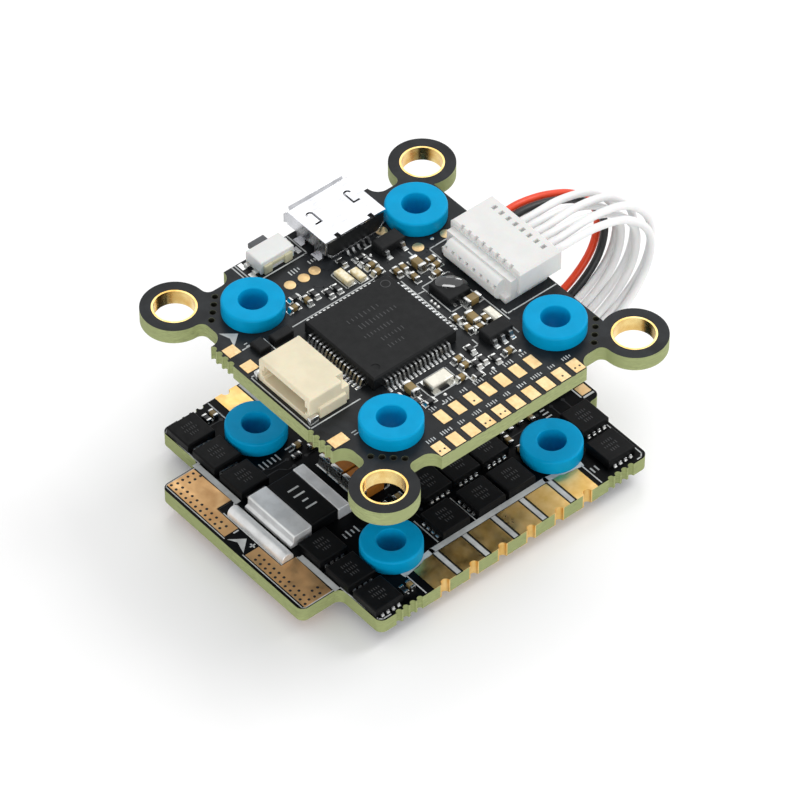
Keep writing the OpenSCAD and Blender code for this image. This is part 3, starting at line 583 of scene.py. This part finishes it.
# Roundings at the bore, at the outer rim and beside the waist
LIP = 0.12
RIM = 0.25
NIP = 0.08
GROMMET_SECTION = (
    arc(BORE_R + LIP, LIP - HALF_H, LIP, 180, 270, 4)
    + arc(FLANGE_R - RIM, RIM - HALF_H, RIM, -90, 0, 8)
    + [(FLANGE_R, -BELLY)]
    + arc(FLANGE_R - NIP, -HALF_WAIST - NIP, NIP, 0, 90, 3)
    + [(WAIST_R, -HALF_WAIST), (WAIST_R, HALF_WAIST)]
    + arc(FLANGE_R - NIP, HALF_WAIST + NIP, NIP, -90, 0, 3)
    + [(FLANGE_R, BELLY)]
    + arc(FLANGE_R - RIM, HALF_H - RIM, RIM, 0, 90, 8)
    + arc(BORE_R + LIP, HALF_H - LIP, LIP, 90, 180, 4))
for side in ("fc", "esc"):
    for k in range(4):
        node = f"{side}_grommet_{k + 1}"
        low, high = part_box(node)
        mid = (low + high) / 2 / MM
        grommet = lathe(node + "_silicone", GROMMET_SECTION, *mid)
        smooth(grommet, 60)
        place(grommet, BLUE, stands_for=(node,))

# ---------------------------------------------------------------- tinned lands and solder fillets


def islands(node):
    """(lowest corner, highest corner) of each separate solid of a CAD node, in mm."""
    bm = bmesh.new()
    bm.from_mesh(nodes[node].data)
    bmesh.ops.remove_doubles(bm, verts=bm.verts, dist=1e-7)
    seen, out = set(), []
    for v in bm.verts:
        if v in seen:
            continue
        group, todo = [], [v]
        seen.add(v)
        while todo:
            w = todo.pop()
            group.append(w.co / MM)
            for e in w.link_edges:
                u = e.other_vert(w)
                if u not in seen:
                    seen.add(u)
                    todo.append(u)
        out.append((Vector([min(c[k] for c in group) for k in range(3)]),
                    Vector([max(c[k] for c in group) for k in range(3)])))
    bm.free()
    return sorted(out, key=lambda b: (round(b[0].x, 3), round(b[0].y, 3), round(b[0].z, 3)))


def centre(b):
    return (b[0] + b[1]) / 2


def outward(end, bodies):
    """Direction, in degrees, from the nearest body to the centre of a lead or end cap."""
    c = centre(end)
    near = min(bodies, key=lambda b: (max(b[0].x - c.x, c.x - b[1].x, 0) ** 2
                                      + max(b[0].y - c.y, c.y - b[1].y, 0) ** 2
                                      + (centre(b) - c).length * 0.01))
    gap_x = max(near[0].x - c.x, c.x - near[1].x)
    gap_y = max(near[0].y - c.y, c.y - near[1].y)
    if gap_x > gap_y:
        return 0 if c.x > centre(near).x else 180
    return 90 if c.y > centre(near).y else 270


LAND_H = 0.03


def land(sketch, end, angle, z, grow=0.12, fillet=0.22, tall=0.35, solder=None):
    """A tinned land under an end, with a solder fillet running out onto it, in solder or in sketch."""
    c, s = end[1] - end[0], centre(end)
    along = c.x if angle % 180 == 0 else c.y
    across = c.y if angle % 180 == 0 else c.x
    d = Vector((math.cos(math.radians(angle)), math.sin(math.radians(angle))))
    mid = Vector((s.x, s.y)) + d * fillet / 2
    sketch.box(mid.x, mid.y, z, along + fillet + 0.06, across + grow, LAND_H, angle)
    foot = Vector((s.x, s.y)) + d * along / 2
    (solder or sketch).wedge(foot.x, foot.y, z + 0.02, across * 0.9, fillet, tall, angle)


lands = Sketch()
fillets = Sketch()
fc_bodies = islands("fc_capacitors") + islands("fc_resistors")
fc_ends = islands("fc_chip_ends")
for end in fc_ends:
    land(lands, end, outward(end, fc_bodies), FC, tall=(end[1].z - end[0].z) * 0.75, solder=fillets)
mcu_body = islands("mcu_package")
for lead in islands("mcu_leads"):
    land(lands, lead, outward(lead, mcu_body), FC, 0.06, 0.14, 0.1, fillets)
regulators = islands("fc_regulators")
for lead in islands("fc_regulator_leads"):
    land(lands, lead, outward(lead, regulators), FC, 0.12, 0.18, 0.14, fillets)
SENSOR_Y = 5.65
for y in (-0.75, 0, 0.75):
    for x in (-1.62, 1.62):
        lands.box(x, SENSOR_Y + y, FC, 0.45, 0.32, PAD_H)
# the crystal's four lands and the button's four
for x, y, w, d in ((7.55, -3.85, 0.6, 0.8), (9.15, -3.85, 0.6, 0.8), (7.55, -1.95, 0.6, 0.8),
                   (9.15, -1.95, 0.6, 0.8), (-15.2, -7.1, 0.9, 0.5), (-13.6, -7.1, 0.9, 0.5),
                   (-15.2, -1.7, 0.9, 0.5), (-13.6, -1.7, 0.9, 0.5)):
    lands.box(x, y, FC, w, d, 0.06)
for box in islands("fc_leds"):
    c = centre(box)
    for s in (-1, 1):
        lands.box(c.x + s * (box[1].x - box[0].x) * 0.52, c.y, FC, 0.45, 0.85, 0.12)
lands.done("fc_lands", TIN, "tinned_leads", rounding=0.012, segments=1)
fillets.done("fc_solder_fillets", TIN, "solder_tin")

esc_lands = Sketch()
fets = islands("esc_mosfets")
for lead in islands("esc_mosfet_leads"):
    land(esc_lands, lead, outward(lead, fets), ESC, 0.06, 0.16, 0.12)
caps = islands("esc_capacitors")
for end in islands("esc_capacitor_ends"):
    if end[1].z > ESC:
        land(esc_lands, end, outward(end, caps), ESC, 0.15, 0.3, 0.8)
esc_lands.done("esc_lands", TIN, "solder_tin")

# ---------------------------------------------------------------- extra small parts of the lower board

# Their places, as (x, y, angle)
small = [(x, 0.95, 0) for x in (-3.2, -1.7, -0.2, 1.3, 2.8)]
small += [(x, 5.25, 0) for x in (-2.9, -1.2, 0.5, 2.2)]
small += [(s * 3.65, y, 90) for s in (-1, 1) for y in (-2.5, -1.1, 0.5, 2.1, 3.5, 6.7, 8.1)]
small += [(x, -3.6, 90) for x in (-3, -2, -1, 0, 1, 2, 3)]
small += [(s * x, y, 0) for s in (-1, 1)
          for x, y in ((5, 7.7), (6.4, 7.7), (5, 8.9), (5, 10.1), (5.4, 11.3))]
small += [(s * x, y, 90) for s in (-1, 1)
          for x, y in ((5.2, -5.2), (6.2, -5.2), (5.2, -7), (5.2, -9), (6.2, -8.1))]
small += [(s * x, y, 0) for s in (-1, 1) for x, y in ((8.1, 7.8), (14.6, -11.6), (14.6, -12.4))]
small_bodies = Sketch()
small_dark = Sketch()
small_ends = Sketch()
for k, (x, y, angle) in enumerate(small):
    # every third one is a resistor, the others are capacitors
    body, h = (small_dark, 0.35) if k % 3 == 1 else (small_bodies, 0.5)
    body.box(x, y, ESC + 0.02, 0.54, 0.5, h - 0.04, angle)
    c, s = math.cos(math.radians(angle)), math.sin(math.radians(angle))
    for out in (-0.38, 0.38):
        small_ends.box(x + out * c, y + out * s, ESC, 0.24, 0.54, h, angle)
small_bodies.done("esc_small_capacitors", CERAMIC, "capacitor_tan", rounding=0.03)
small_dark.done("esc_small_resistors", RESISTOR, "resistor_black", rounding=0.02)
small_ends.done("esc_small_ends", TIN, "solder_tin", rounding=0.04)

# ---------------------------------------------------------------- masked copper under the coating


TRACK_W = 0.12
TRACK_H = 0.012
VIA_H = 0.02
HOLE_H = 0.008
# Grid of the starts, grid on which the tracks keep apart, and samples along each of their straights
START_GRID = 1.1
CELL = 0.33
STEPS = 12


def tracks(name, z, under, reach, keep_out, seed):
    """Thin raised tracks with a 45 degree jog, which end in vias and never cross.

    They stay within reach of the centre and off the keep_out rectangles. under is 1 on a face
    that looks down and 0 on one that looks up."""
    rng = random.Random(seed)
    copper = Sketch()
    vias = Sketch()
    holes = Sketch()
    used = set()
    starts = [(x * START_GRID, y * START_GRID) for x in range(-16, 17) for y in range(-18, 19)]
    rng.shuffle(starts)
    for x, y in starts:
        heading = math.radians(rng.choice((0, 90, 180, 270)))
        jog = heading + math.radians(rng.choice((-45, 45)))
        ahead = Vector((math.cos(heading), math.sin(heading)))
        slant = Vector((math.cos(jog), math.sin(jog)))
        first = rng.choice((0.8, 1.4, 2))
        second = rng.choice((0.5, 0.9))
        third = rng.choice((0.8, 1.6, 2.6))
        # this draw has no other use than to leave the later ones, and so the layout, as they are
        rng.choice((1, 2, 3))
        p = Vector((x, y))
        points = [p, p + ahead * first, p + ahead * first + slant * second,
                  p + ahead * (first + third) + slant * second]
        samples = [a.lerp(b, t / STEPS) for a, b in zip(points, points[1:]) for t in range(STEPS + 1)]
        cells = {(round(q.x / CELL), round(q.y / CELL)) for q in samples}
        outside = any(abs(q.x) > reach[0] or abs(q.y) > reach[1] for q in samples)
        blocked = any(x0 < q.x < x1 and y0 < q.y < y1 for q in samples for x0, y0, x1, y1 in keep_out)
        if outside or blocked or cells & used:
            continue
        used |= {(i + di, j + dj) for i, j in cells for di in (-1, 0, 1) for dj in (-1, 0, 1)}
        copper.path(points, TRACK_W, z - under * TRACK_H, TRACK_H)
        for q in (points[0], points[-1]):
            vias.ring(q.x, q.y, z - under * VIA_H, 0.1, 0.2, VIA_H, 16)
            holes.disc(q.x, q.y, z - under * HOLE_H, 0.11, HOLE_H, 12)
    copper.done(name + "_tracks", TRACE, "fc_mask")
    vias.done(name + "_vias", TRACE, "fc_mask")
    holes.done(name + "_via_holes", SLOT_DARK, "fc_mask")


# Rectangles that the tracks keep off, as (x0, y0, x1, y1)
grommet_blocks = [(a * 10 - 3.6, b * 10 - 3.6, a * 10 + 3.6, b * 10 + 3.6)
                  for a in (-1, 1) for b in (-1, 1)]
fc_top_blocks = [
    (-5.9, -9.4, 6.6, 3.1),       # the processor and its leads
    (-3.2, -16, 5.4, -9.8),       # the receiver socket
    (-17, -0.9, -10, 7),          # the data socket
    (-16, -7.5, -12.6, -1.5),     # the button
    (-5, 8, 5.6, 15),             # the harness header
    (13.9, -10, 17, 10),          # the two rows of edge pads
    (11, -6.6, 12.9, 6.6)]
fc_under_blocks = [
    (-6.2, 1.8, 4.2, 7.2),        # the chips
    (-6.5, -6.5, -0.6, -1.5),
    (2.6, -6.4, 6.4, -2.6),
    (12.8, -10, 17, 10)]          # the edge pads
off_the_board = [(7, 16.2, 20, 30), (-20, 16.2, -7, 30), (9.9, -30, 20, -16), (-20, -30, -9.9, -16)]
esc_top_blocks = off_the_board + [
    (12, -11, 17, 11),            # the motor pads
    (-17, -11, -12, 11),
    (-4, -17, 4.6, -9),           # the shunt
    (-5, 9.8, 5, 19)]             # the harness header
esc_under_blocks = off_the_board + [
    (11.9, -11, 17, 11),          # the motor pads
    (-17, -11, -11.9, 11),
    (-7.4, -15, 7.4, -11),        # the capacitors
    (-6, -8, -2, -4),             # the gate drivers
    (2, -8, 6, -4),
    (-10, -18, 10, -17),          # the printed lines
    (-1.6, 1, 1.6, 6),
    (-2, 11, 2, 13),
    (-8.6, 1, -7.4, 3),
    (7.4, 1, 8.6, 3)]
tracks("fc_top", FC, 0, (13.6, 13.6), grommet_blocks + fc_top_blocks, 11)
tracks("fc_under", FC_UNDER, 1, (13.6, 13.6), grommet_blocks + fc_under_blocks, 21)
tracks("esc_top", ESC, 0, (15.6, 16.2), grommet_blocks + esc_top_blocks, 31)
tracks("esc_under", ESC_UNDER, 1, (15.6, 18), grommet_blocks + esc_under_blocks, 41)

# ---------------------------------------------------------------- printed lines of the upper board

PAD_PITCH = 1.83
OUTER_PADS = 10
INNER_PADS = 7


def pad_y(k, count):
    """Where the k-th of count edge pads lies along the row."""
    return (k - (count - 1) / 2) * PAD_PITCH


silk = Sketch()
for points in (
        [(-5.95, -8.5), (-5.95, 1.3)], [(-4, 3.1), (3.9, 3.1)], [(-1.7, 3.3), (-1.65, 3.9)],
        [(6.2, 3.15), (7.0, 3.15), (7.0, 2.6)], [(6.3, 7.6), (2.3, 7.55)],
        [(-5.65, 14), (-5.65, 7.95), (-3.9, 7.95)], [(5.65, 13.95), (5.65, 7.9), (4.9, 7.9)],
        [(5.3, -9.8), (5.3, -15.7)], [(-3.35, -13.6), (-3.35, -15.7)], [(-3.35, -15.7), (5.3, -15.7)],
        [(-6.6, -14), (-6.6, -11.6), (-4.4, -11.6)], [(-12.75, -7.4), (-12.75, -1.2)],
        [(-15.7, -7.55), (-12.75, -7.55)], [(-15.7, -7.9), (-12.75, -7.9)],
        [(-15.7, -1.2), (-12.75, -1.2)], [(-9.6, 7.2), (-9.6, 3.3)], [(8.15, 7.1), (5.9, 7.1)],
        [(10.75, -3.9), (10.75, -4.4)], [(1.2, -9.6), (1.7, -9.6)], [(-6.6, 6.2), (-6.1, 6.2)]):
    silk.path(points, 0.13, FC, INK)
silk.frame(-2.2, 4.05, 2.15, 7.35, 0.12, FC, INK)
silk.frame(-8.95, -1.4, -6.55, -0.2, 0.11, FC, INK)
silk.frame(-8.25, -0.05, -6.2, 1.05, 0.11, FC, INK)
silk.frame(7.2, -4.65, 9.5, -1.15, 0.12, FC, INK)
silk.plate([(-9.72, -14.36), (-8.56, -13.97), (-7.47, -14.34), (-8.56, -12.98)][::-1], FC, INK)
silk.ring(-0.75, -8.75, FC, 0.28, 0.4, INK)
silk.ring(-5.3, 1.9, FC, 0.14, 0.26, INK)
for k in range(INNER_PADS):
    silk.marks(10.6, pad_y(k, INNER_PADS), FC, 3 + k % 2, 90, 0.5, 0.3, 0.11, INK, seed=k + 3)
for k in range(OUTER_PADS):
    silk.marks(13.55, pad_y(k, OUTER_PADS), FC, 3 + (k + 1) % 3, 90, 0.45, 0.28, 0.1, INK, seed=k + 31)
silk.marks(-11.6, -3.7, FC, 4, 90, 0.6, 0.34, 0.12, INK, seed=2)
silk.marks(-11.6, -1.2, FC, 5, 90, 0.6, 0.34, 0.12, INK, seed=9)
silk.marks(-6.9, -13.3, FC, 2, 0, 0.6, 0.35, 0.12, INK, seed=5)
silk.marks(8.3, -12.9, FC, 2, 0, 0.6, 0.35, 0.12, INK, seed=6)
silk.marks(-3.3, 9.6, FC, 3, 90, 0.5, 0.32, 0.11, INK, seed=16)
silk.done("fc_printed_lines", SILK, "white_plastic")

# dark gaps between the pads, and solder holes in some of the outer ones
gaps = Sketch()
for k in range(OUTER_PADS - 1):
    gaps.box(14.9, pad_y(k, OUTER_PADS - 1), FC, 1.9, 0.3, GAP_H)
for k in range(INNER_PADS - 1):
    gaps.box(11.95, pad_y(k, INNER_PADS - 1), FC, 1.75, 0.26, GAP_H)
gaps.box(1, -15.35, FC, 7.4, 0.3, GAP_H)
for k, count in ((0, 2), (3, 2), (4, 2), (8, 1), (9, 2)):
    for j in range(count):
        y = pad_y(k, OUTER_PADS) + (j - (count - 1) / 2) * 0.55
        gaps.disc(15.15, y, FC + PAD_H, 0.11, DOT_H, 16)
gaps.disc(12.3, pad_y(2, INNER_PADS) - 0.1, FC + PAD_H, 0.11, DOT_H, 16)
gaps.done("fc_pad_gaps", SLOT_DARK, "fc_mask")

dots = Sketch()
for x, y in ((-6.2, -9.8), (-4.6, -9.0), (-0.2, 3.6), (0.3, 3.62), (0.8, 3.6), (-9.6, -7.3), (-6.6, 9.1),
             (10.2, 2.2), (6.2, -9.8), (3.1, 3.62), (-9.3, 1.5), (-8.6, 3.2), (9.9, -3.4), (10.1, 5.6)):
    dots.disc(x, y, FC, 0.2, 0.08, 16, 0.1)
dots.done("fc_solder_dots", TIN, "solder_tin")

# the glossy drop of resin over the motion sensor's corner
RESIN = Shader("black_resin", lin("#1c1d1f"), 0.12, spec=1.0).set(Coat_Weight=1.0)
RESIN = RESIN.mottle(0.6, 0.3).bump(RESIN.noise(0.9), 0.15, 0.03).m
bm = bmesh.new()
bmesh.ops.create_uvsphere(bm, u_segments=40, v_segments=20, radius=1)
for v in bm.verts:
    wave = 1 + 0.05 * math.sin(5 * math.atan2(v.co.y, v.co.x) + 1)
    v.co = Vector((1.85 * wave * v.co.x, 0.95 * wave * v.co.y, 1.5 * max(v.co.z, -0.02)))
turn = Matrix.Translation((-0.4, 5.95, FC)) @ Matrix.Rotation(math.radians(50), 4, "Z")
bmesh.ops.transform(bm, matrix=turn, verts=bm.verts)
drop = link_mesh(bm, "sensor_resin")
smooth(drop, 60)
place(drop, RESIN)

# the walls of the break-off holes, coloured dark as painted shade inside the holes
HOLE_SHADE = moulded("painted_hole_shade", lin("#23220f"), 0.7, 0.1, 0.5).m
shade_rings = Sketch()
for a in (-1, 1):
    for b in (-1, 1):
        turn = math.atan2(b, a)
        for k in range(4):
            out, side = 3.75, (k - 1.5) * 1.05
            x = a * 10 + out * math.cos(turn) - side * math.sin(turn)
            y = b * 10 + out * math.sin(turn) + side * math.cos(turn)
            shade_rings.ring(x, y, FC_UNDER + 0.01, 0.29, 0.345, FC - FC_UNDER - 0.02, 20)
shade_rings.done("break_off_hole_wall_shade", HOLE_SHADE, "fc_mask")

# ---------------------------------------------------------------- laser marks on the packages

LASER_H = 0.006
laser = Sketch()
mcu_top = top_of("mcu_package")
for row, (x, y, count, tall, pitch) in enumerate((
        (-1.9, -3.4, 8, 0.62, 0.5), (-0.7, -2.6, 11, 0.62, 0.42), (0.6, -3.6, 9, 0.5, 0.4),
        (1.8, -2.9, 7, 0.5, 0.4), (2.9, -3.4, 5, 0.5, 0.4))):
    laser.marks(x, y, mcu_top, count, 90, tall, pitch, 0.09, LASER_H, seed=row + 50)
laser.ring(-3.6, 0.8, mcu_top, 0.42, 0.5, LASER_H)
laser.marks(0, SENSOR_Y, top_of("gyro_sensor"), 4, 90, 0.4, 0.32, 0.08, LASER_H, seed=61)
for k, box in enumerate(fets):
    c = centre(box)
    for j, (off, count) in enumerate(((-0.6, 5), (0, 6), (0.6, 4))):
        laser.marks(c.x + off, c.y, box[1].z, count, 90, 0.38, 0.27, 0.08, LASER_H, seed=70 + 3 * k + j)
for k, box in enumerate(islands("esc_processors") + islands("esc_gate_drivers")):
    c = centre(box)
    if box[1].z > ESC:
        laser.marks(c.x, c.y, box[1].z, 5, 90, 0.45, 0.3, 0.08, LASER_H, seed=200 + k)
laser.done("laser_marks", FAINT, "chip_black")

# ---------------------------------------------------------------- printed lines of the lower board

MOTOR_PITCH = 3.55
MOTOR_GAPS = 5
# The bar along the inner ends of the motor pads, and the middle of the pads
MOTOR_BAR_X = 12.43
MOTOR_PAD_X = 14.5


def motor_gap_y(k):
    """The middle of the k-th gap between the motor pads."""
    return (k - (MOTOR_GAPS - 1) / 2) * MOTOR_PITCH + 0.15


ARROW = [(-1.1, -20.8), (-0.2, -20.3), (1.25, -20.75), (0, -19.35)]

esc_silk = Sketch()
esc_gaps = Sketch()
for s in (-1, 1):
    esc_silk.box(s * MOTOR_BAR_X, 0, ESC, 0.62, 14.6, INK)
    for t in (-1, 1):
        esc_silk.line((s * MOTOR_BAR_X, t * 7.2), (s * 13.05, t * 10.9), 0.6, ESC, INK)
        esc_silk.line((s * 13.3, t * 10.95), (s * 16.1, t * 10.95), 0.12, ESC, INK)
        # the line round the board's corner
        corner = [(8, 16.4), (15.7, 16.4), (16.05, 16.05), (16.05, 15.6)] if t > 0 else [
            (10.5, -16.62), (15.75, -16.45), (16.05, -16.1), (16.05, -15.2)]
        esc_silk.path([(s * x, y) for x, y in corner], 0.12, ESC, INK)
    for k in range(MOTOR_GAPS):
        y = motor_gap_y(k)
        esc_silk.box(s * MOTOR_PAD_X, y, ESC, 3.4, 0.5, INK)
        for t in (-1, 1):
            esc_gaps.box(s * MOTOR_PAD_X, y + t * 0.32, ESC, 3.5, 0.13, GAP_H)
    esc_silk.path([(s * 8.5, -5.9), (s * 11.9, -5.9)], 0.12, ESC, INK)
    esc_silk.path([(s * 8.4, -1.35), (s * 12, -1.35)], 0.1, ESC, INK)
    for k in range(5):
        for x in (7.95, 11.95):
            esc_silk.box(s * x, -16 + 0.65 * k, ESC, 0.26, 0.2, INK)
    tab_edge = [(1.4, -20.95), (10.12, -20.95), (10.3, -20.75), (10.3, -17.35)]
    esc_silk.path([(s * x, y) for x, y in tab_edge], 0.1, ESC, INK)
    pad_edge = [(1.42, -19.05), (4.67, -19.0), (4.67, -17.25), (10.35, -17.38)]
    esc_gaps.path([(s * x, y) for x, y in pad_edge], 0.12, ESC, GAP_H)
esc_silk.box(-7.4, -17.0, ESC, 6.6, 0.62, INK)
esc_silk.box(7.75, -17.0, ESC, 5.5, 0.62, INK)
esc_silk.line((-4.3, -17.35), (-3.75, -18.0), 0.16, ESC, INK)
esc_silk.line((4.95, -17.2), (4.95, -18.9), 0.16, ESC, INK)
esc_silk.line((-3.9, -18.95), (4.7, -18.95), 0.12, ESC, INK)
esc_silk.plate(ARROW, ESC, INK)
# the minus and plus signs beside the battery pads
esc_silk.box(-1.35, -19.55, ESC, 0.16, 0.62, INK)
esc_silk.box(1.05, -19.5, ESC, 0.62, 0.15, INK)
esc_silk.box(1.05, -19.5, ESC, 0.15, 0.62, INK)
for k, (x, y, count, angle) in enumerate((
        (14.9, -12.0, 2, 90), (14.4, 11.6, 2, 90), (-14.4, -12.3, 2, 90), (-14.4, 11.6, 2, 90),
        (-6.3, -11.4, 5, 90), (-6.1, -8.8, 3, 0), (5.7, -11.4, 4, 90), (5.6, 12.9, 4, 0))):
    esc_silk.marks(x, y, ESC, count, angle, 0.9, 0.5, 0.16, INK, seed=300 + k)
esc_silk.done("esc_printed_lines", SILK, "white_plastic")

bars = Sketch()
low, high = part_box("current_shunt")
middle = (low + high) / 2 / MM
for k, tall in enumerate((1.3, 1.3, 0.7, 1.3)):
    bars.box(middle.x - 1.35 + 0.9 * k, middle.y, high.z / MM, 0.2, tall, 0.012)
bars.done("shunt_bars", SILK, "white_plastic")

# the rows of small holes in the battery pads, on both faces
for z in (ESC + PAD_H, ESC_UNDER - PAD_H - DOT_H):
    for s in (-1, 1):
        for row in range(2):
            for k in range(11):
                x = s * (9.95 - 0.73 * k - 0.2 * row)
                esc_gaps.disc(x, -20.45 + 0.62 * row, z, 0.15, DOT_H, 14)
        for row in range(2):
            for k in range(3 if s < 0 else 2):
                y = -19.2 + 0.65 * k + 0.3 * row
                esc_gaps.disc(s * (9.8 - 0.7 * row), y, z, 0.15, DOT_H, 14)
esc_gaps.done("esc_pad_gaps", SLOT_DARK, "esc_mask")

# a spare pad and a printed bar on each side of the rear tab
spare = Sketch()
tab_silk = Sketch()
for s in (-1, 1):
    spare.box(s * 5.75, 17.75, ESC, 1.2, 1.2, PAD_H)
    tab_silk.box(s * 6.62, 17.75, ESC, 0.22, 1.3, INK)
    tab_silk.box(s * 5.75, 16.95, ESC, 1.4, 0.14, INK)
spare.done("esc_spare_pads", PAD, "pad_gold", rounding=0.02)
tab_silk.done("esc_tab_lines", SILK, "white_plastic")

# moulded ribs along the back of the button's housing
IVORY = moulded("ivory_nylon", lin("#c9c5a6"), 0.5, spec=0.3).m
ribs = Sketch()
low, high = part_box("button_housing")
for y, w in ((low.y / MM + 0.75, 0.9), (high.y / MM - 0.8, 0.9)):
    ribs.box(high.x / MM + 0.12, y, FC, 0.3, w, 1.0)
ribs.box(high.x / MM + 0.06, (low.y + high.y) / 2 / MM, FC + 0.55, 0.16, 1.7, 0.4)
ribs.done("button_housing_ribs", IVORY, "button_white", rounding=0.05)

# ---------------------------------------------------------------- printed lines underneath both boards

ESC_INK = ESC_UNDER - INK
FC_INK = FC_UNDER - INK
under = Sketch()
under.path([(-9, -17.3), (-4.9, -17.3)], 0.3, ESC_INK, INK)
under.path([(9, -17.3), (4.9, -17.3)], 0.3, ESC_INK, INK)
under.plate(ARROW, ESC_INK, INK)
under.frame(-7.2, -14.9, 7.2, -11.1, 0.13, ESC_INK, INK)
for s in (-1, 1):
    under.box(s * MOTOR_BAR_X, 0, ESC_INK, 0.4, 14.6, INK)
    under.frame(s * 4 - 1.8, -7.8, s * 4 + 1.8, -4.2, 0.12, ESC_INK, INK)
    for k in range(MOTOR_GAPS):
        under.box(s * MOTOR_PAD_X, motor_gap_y(k), ESC_INK, 3.4, 0.4, INK)
for k, (x, y, count, angle) in enumerate((
        (0, 3, 7, 0), (0, 5, 5, 0), (0, 12, 6, 0), (-8, 2, 4, 90), (8, 2, 4, 90))):
    under.marks(x, y, ESC_INK, count, angle, 0.9, 0.5, 0.14, INK, seed=400 + k)
under.frame(-6.1, 1.9, 4.1, 7.1, 0.13, FC_INK, INK)
under.frame(-6.3, -6.3, -0.8, -1.7, 0.13, FC_INK, INK)
under.frame(2.8, -6.2, 6.2, -2.8, 0.13, FC_INK, INK)
for k in range(OUTER_PADS):
    under.marks(13.3, pad_y(k, OUTER_PADS), FC_INK, 3, 90, 0.5, 0.28, 0.1, INK, seed=430 + k)
under.done("underside_printed_lines", SILK, "white_plastic")

# ---------------------------------------------------------------- lights and floor

HALF_FLOOR = 1.2
AMBIENT = 0.8
AIM = Vector((0, 0, 0.01))

bm = bmesh.new()
bmesh.ops.create_grid(bm, x_segments=8, y_segments=8, size=HALF_FLOOR)
floor = link_mesh(bm, "floor", 1)
FLOOR = Shader("floor_card", (0.9, 0.9, 0.9), 0.3, spec=0.4)
FLOOR = FLOOR.set(Emission_Color=(1, 1, 1, 1), Emission_Strength=0.07).m
floor.data.materials.append(FLOOR)

world = bpy.data.worlds.new("studio")
world.use_nodes = True
world.node_tree.nodes["Background"].inputs[0].default_value = (1, 1, 1, 1)
world.node_tree.nodes["Background"].inputs[1].default_value = AMBIENT
bpy.context.scene.world = world


def softbox(name, at, width, height, watts):
    """A soft rectangular light that faces the object."""
    data = bpy.data.lights.new(name, "AREA")
    data.shape = "RECTANGLE"
    data.size = width
    data.size_y = height
    data.energy = watts
    light = bpy.data.objects.new(name, data)
    bpy.context.scene.collection.objects.link(light)
    light.location = at
    light.rotation_euler = (AIM - Vector(at)).to_track_quat("-Z", "Y").to_euler()


softbox("key", (0.06, 0.42, 0.42), 0.25, 0.25, 1.35)
softbox("fill", (0.42, -0.34, 0.16), 0.3, 0.16, 0.8)
softbox("rim", (-0.3, 0.3, 0.45), 0.3, 0.25, 0.32)

scene = bpy.context.scene
scene.view_settings.view_transform = "Standard"
scene.view_settings.look = "None"
scene.view_settings.exposure = 0
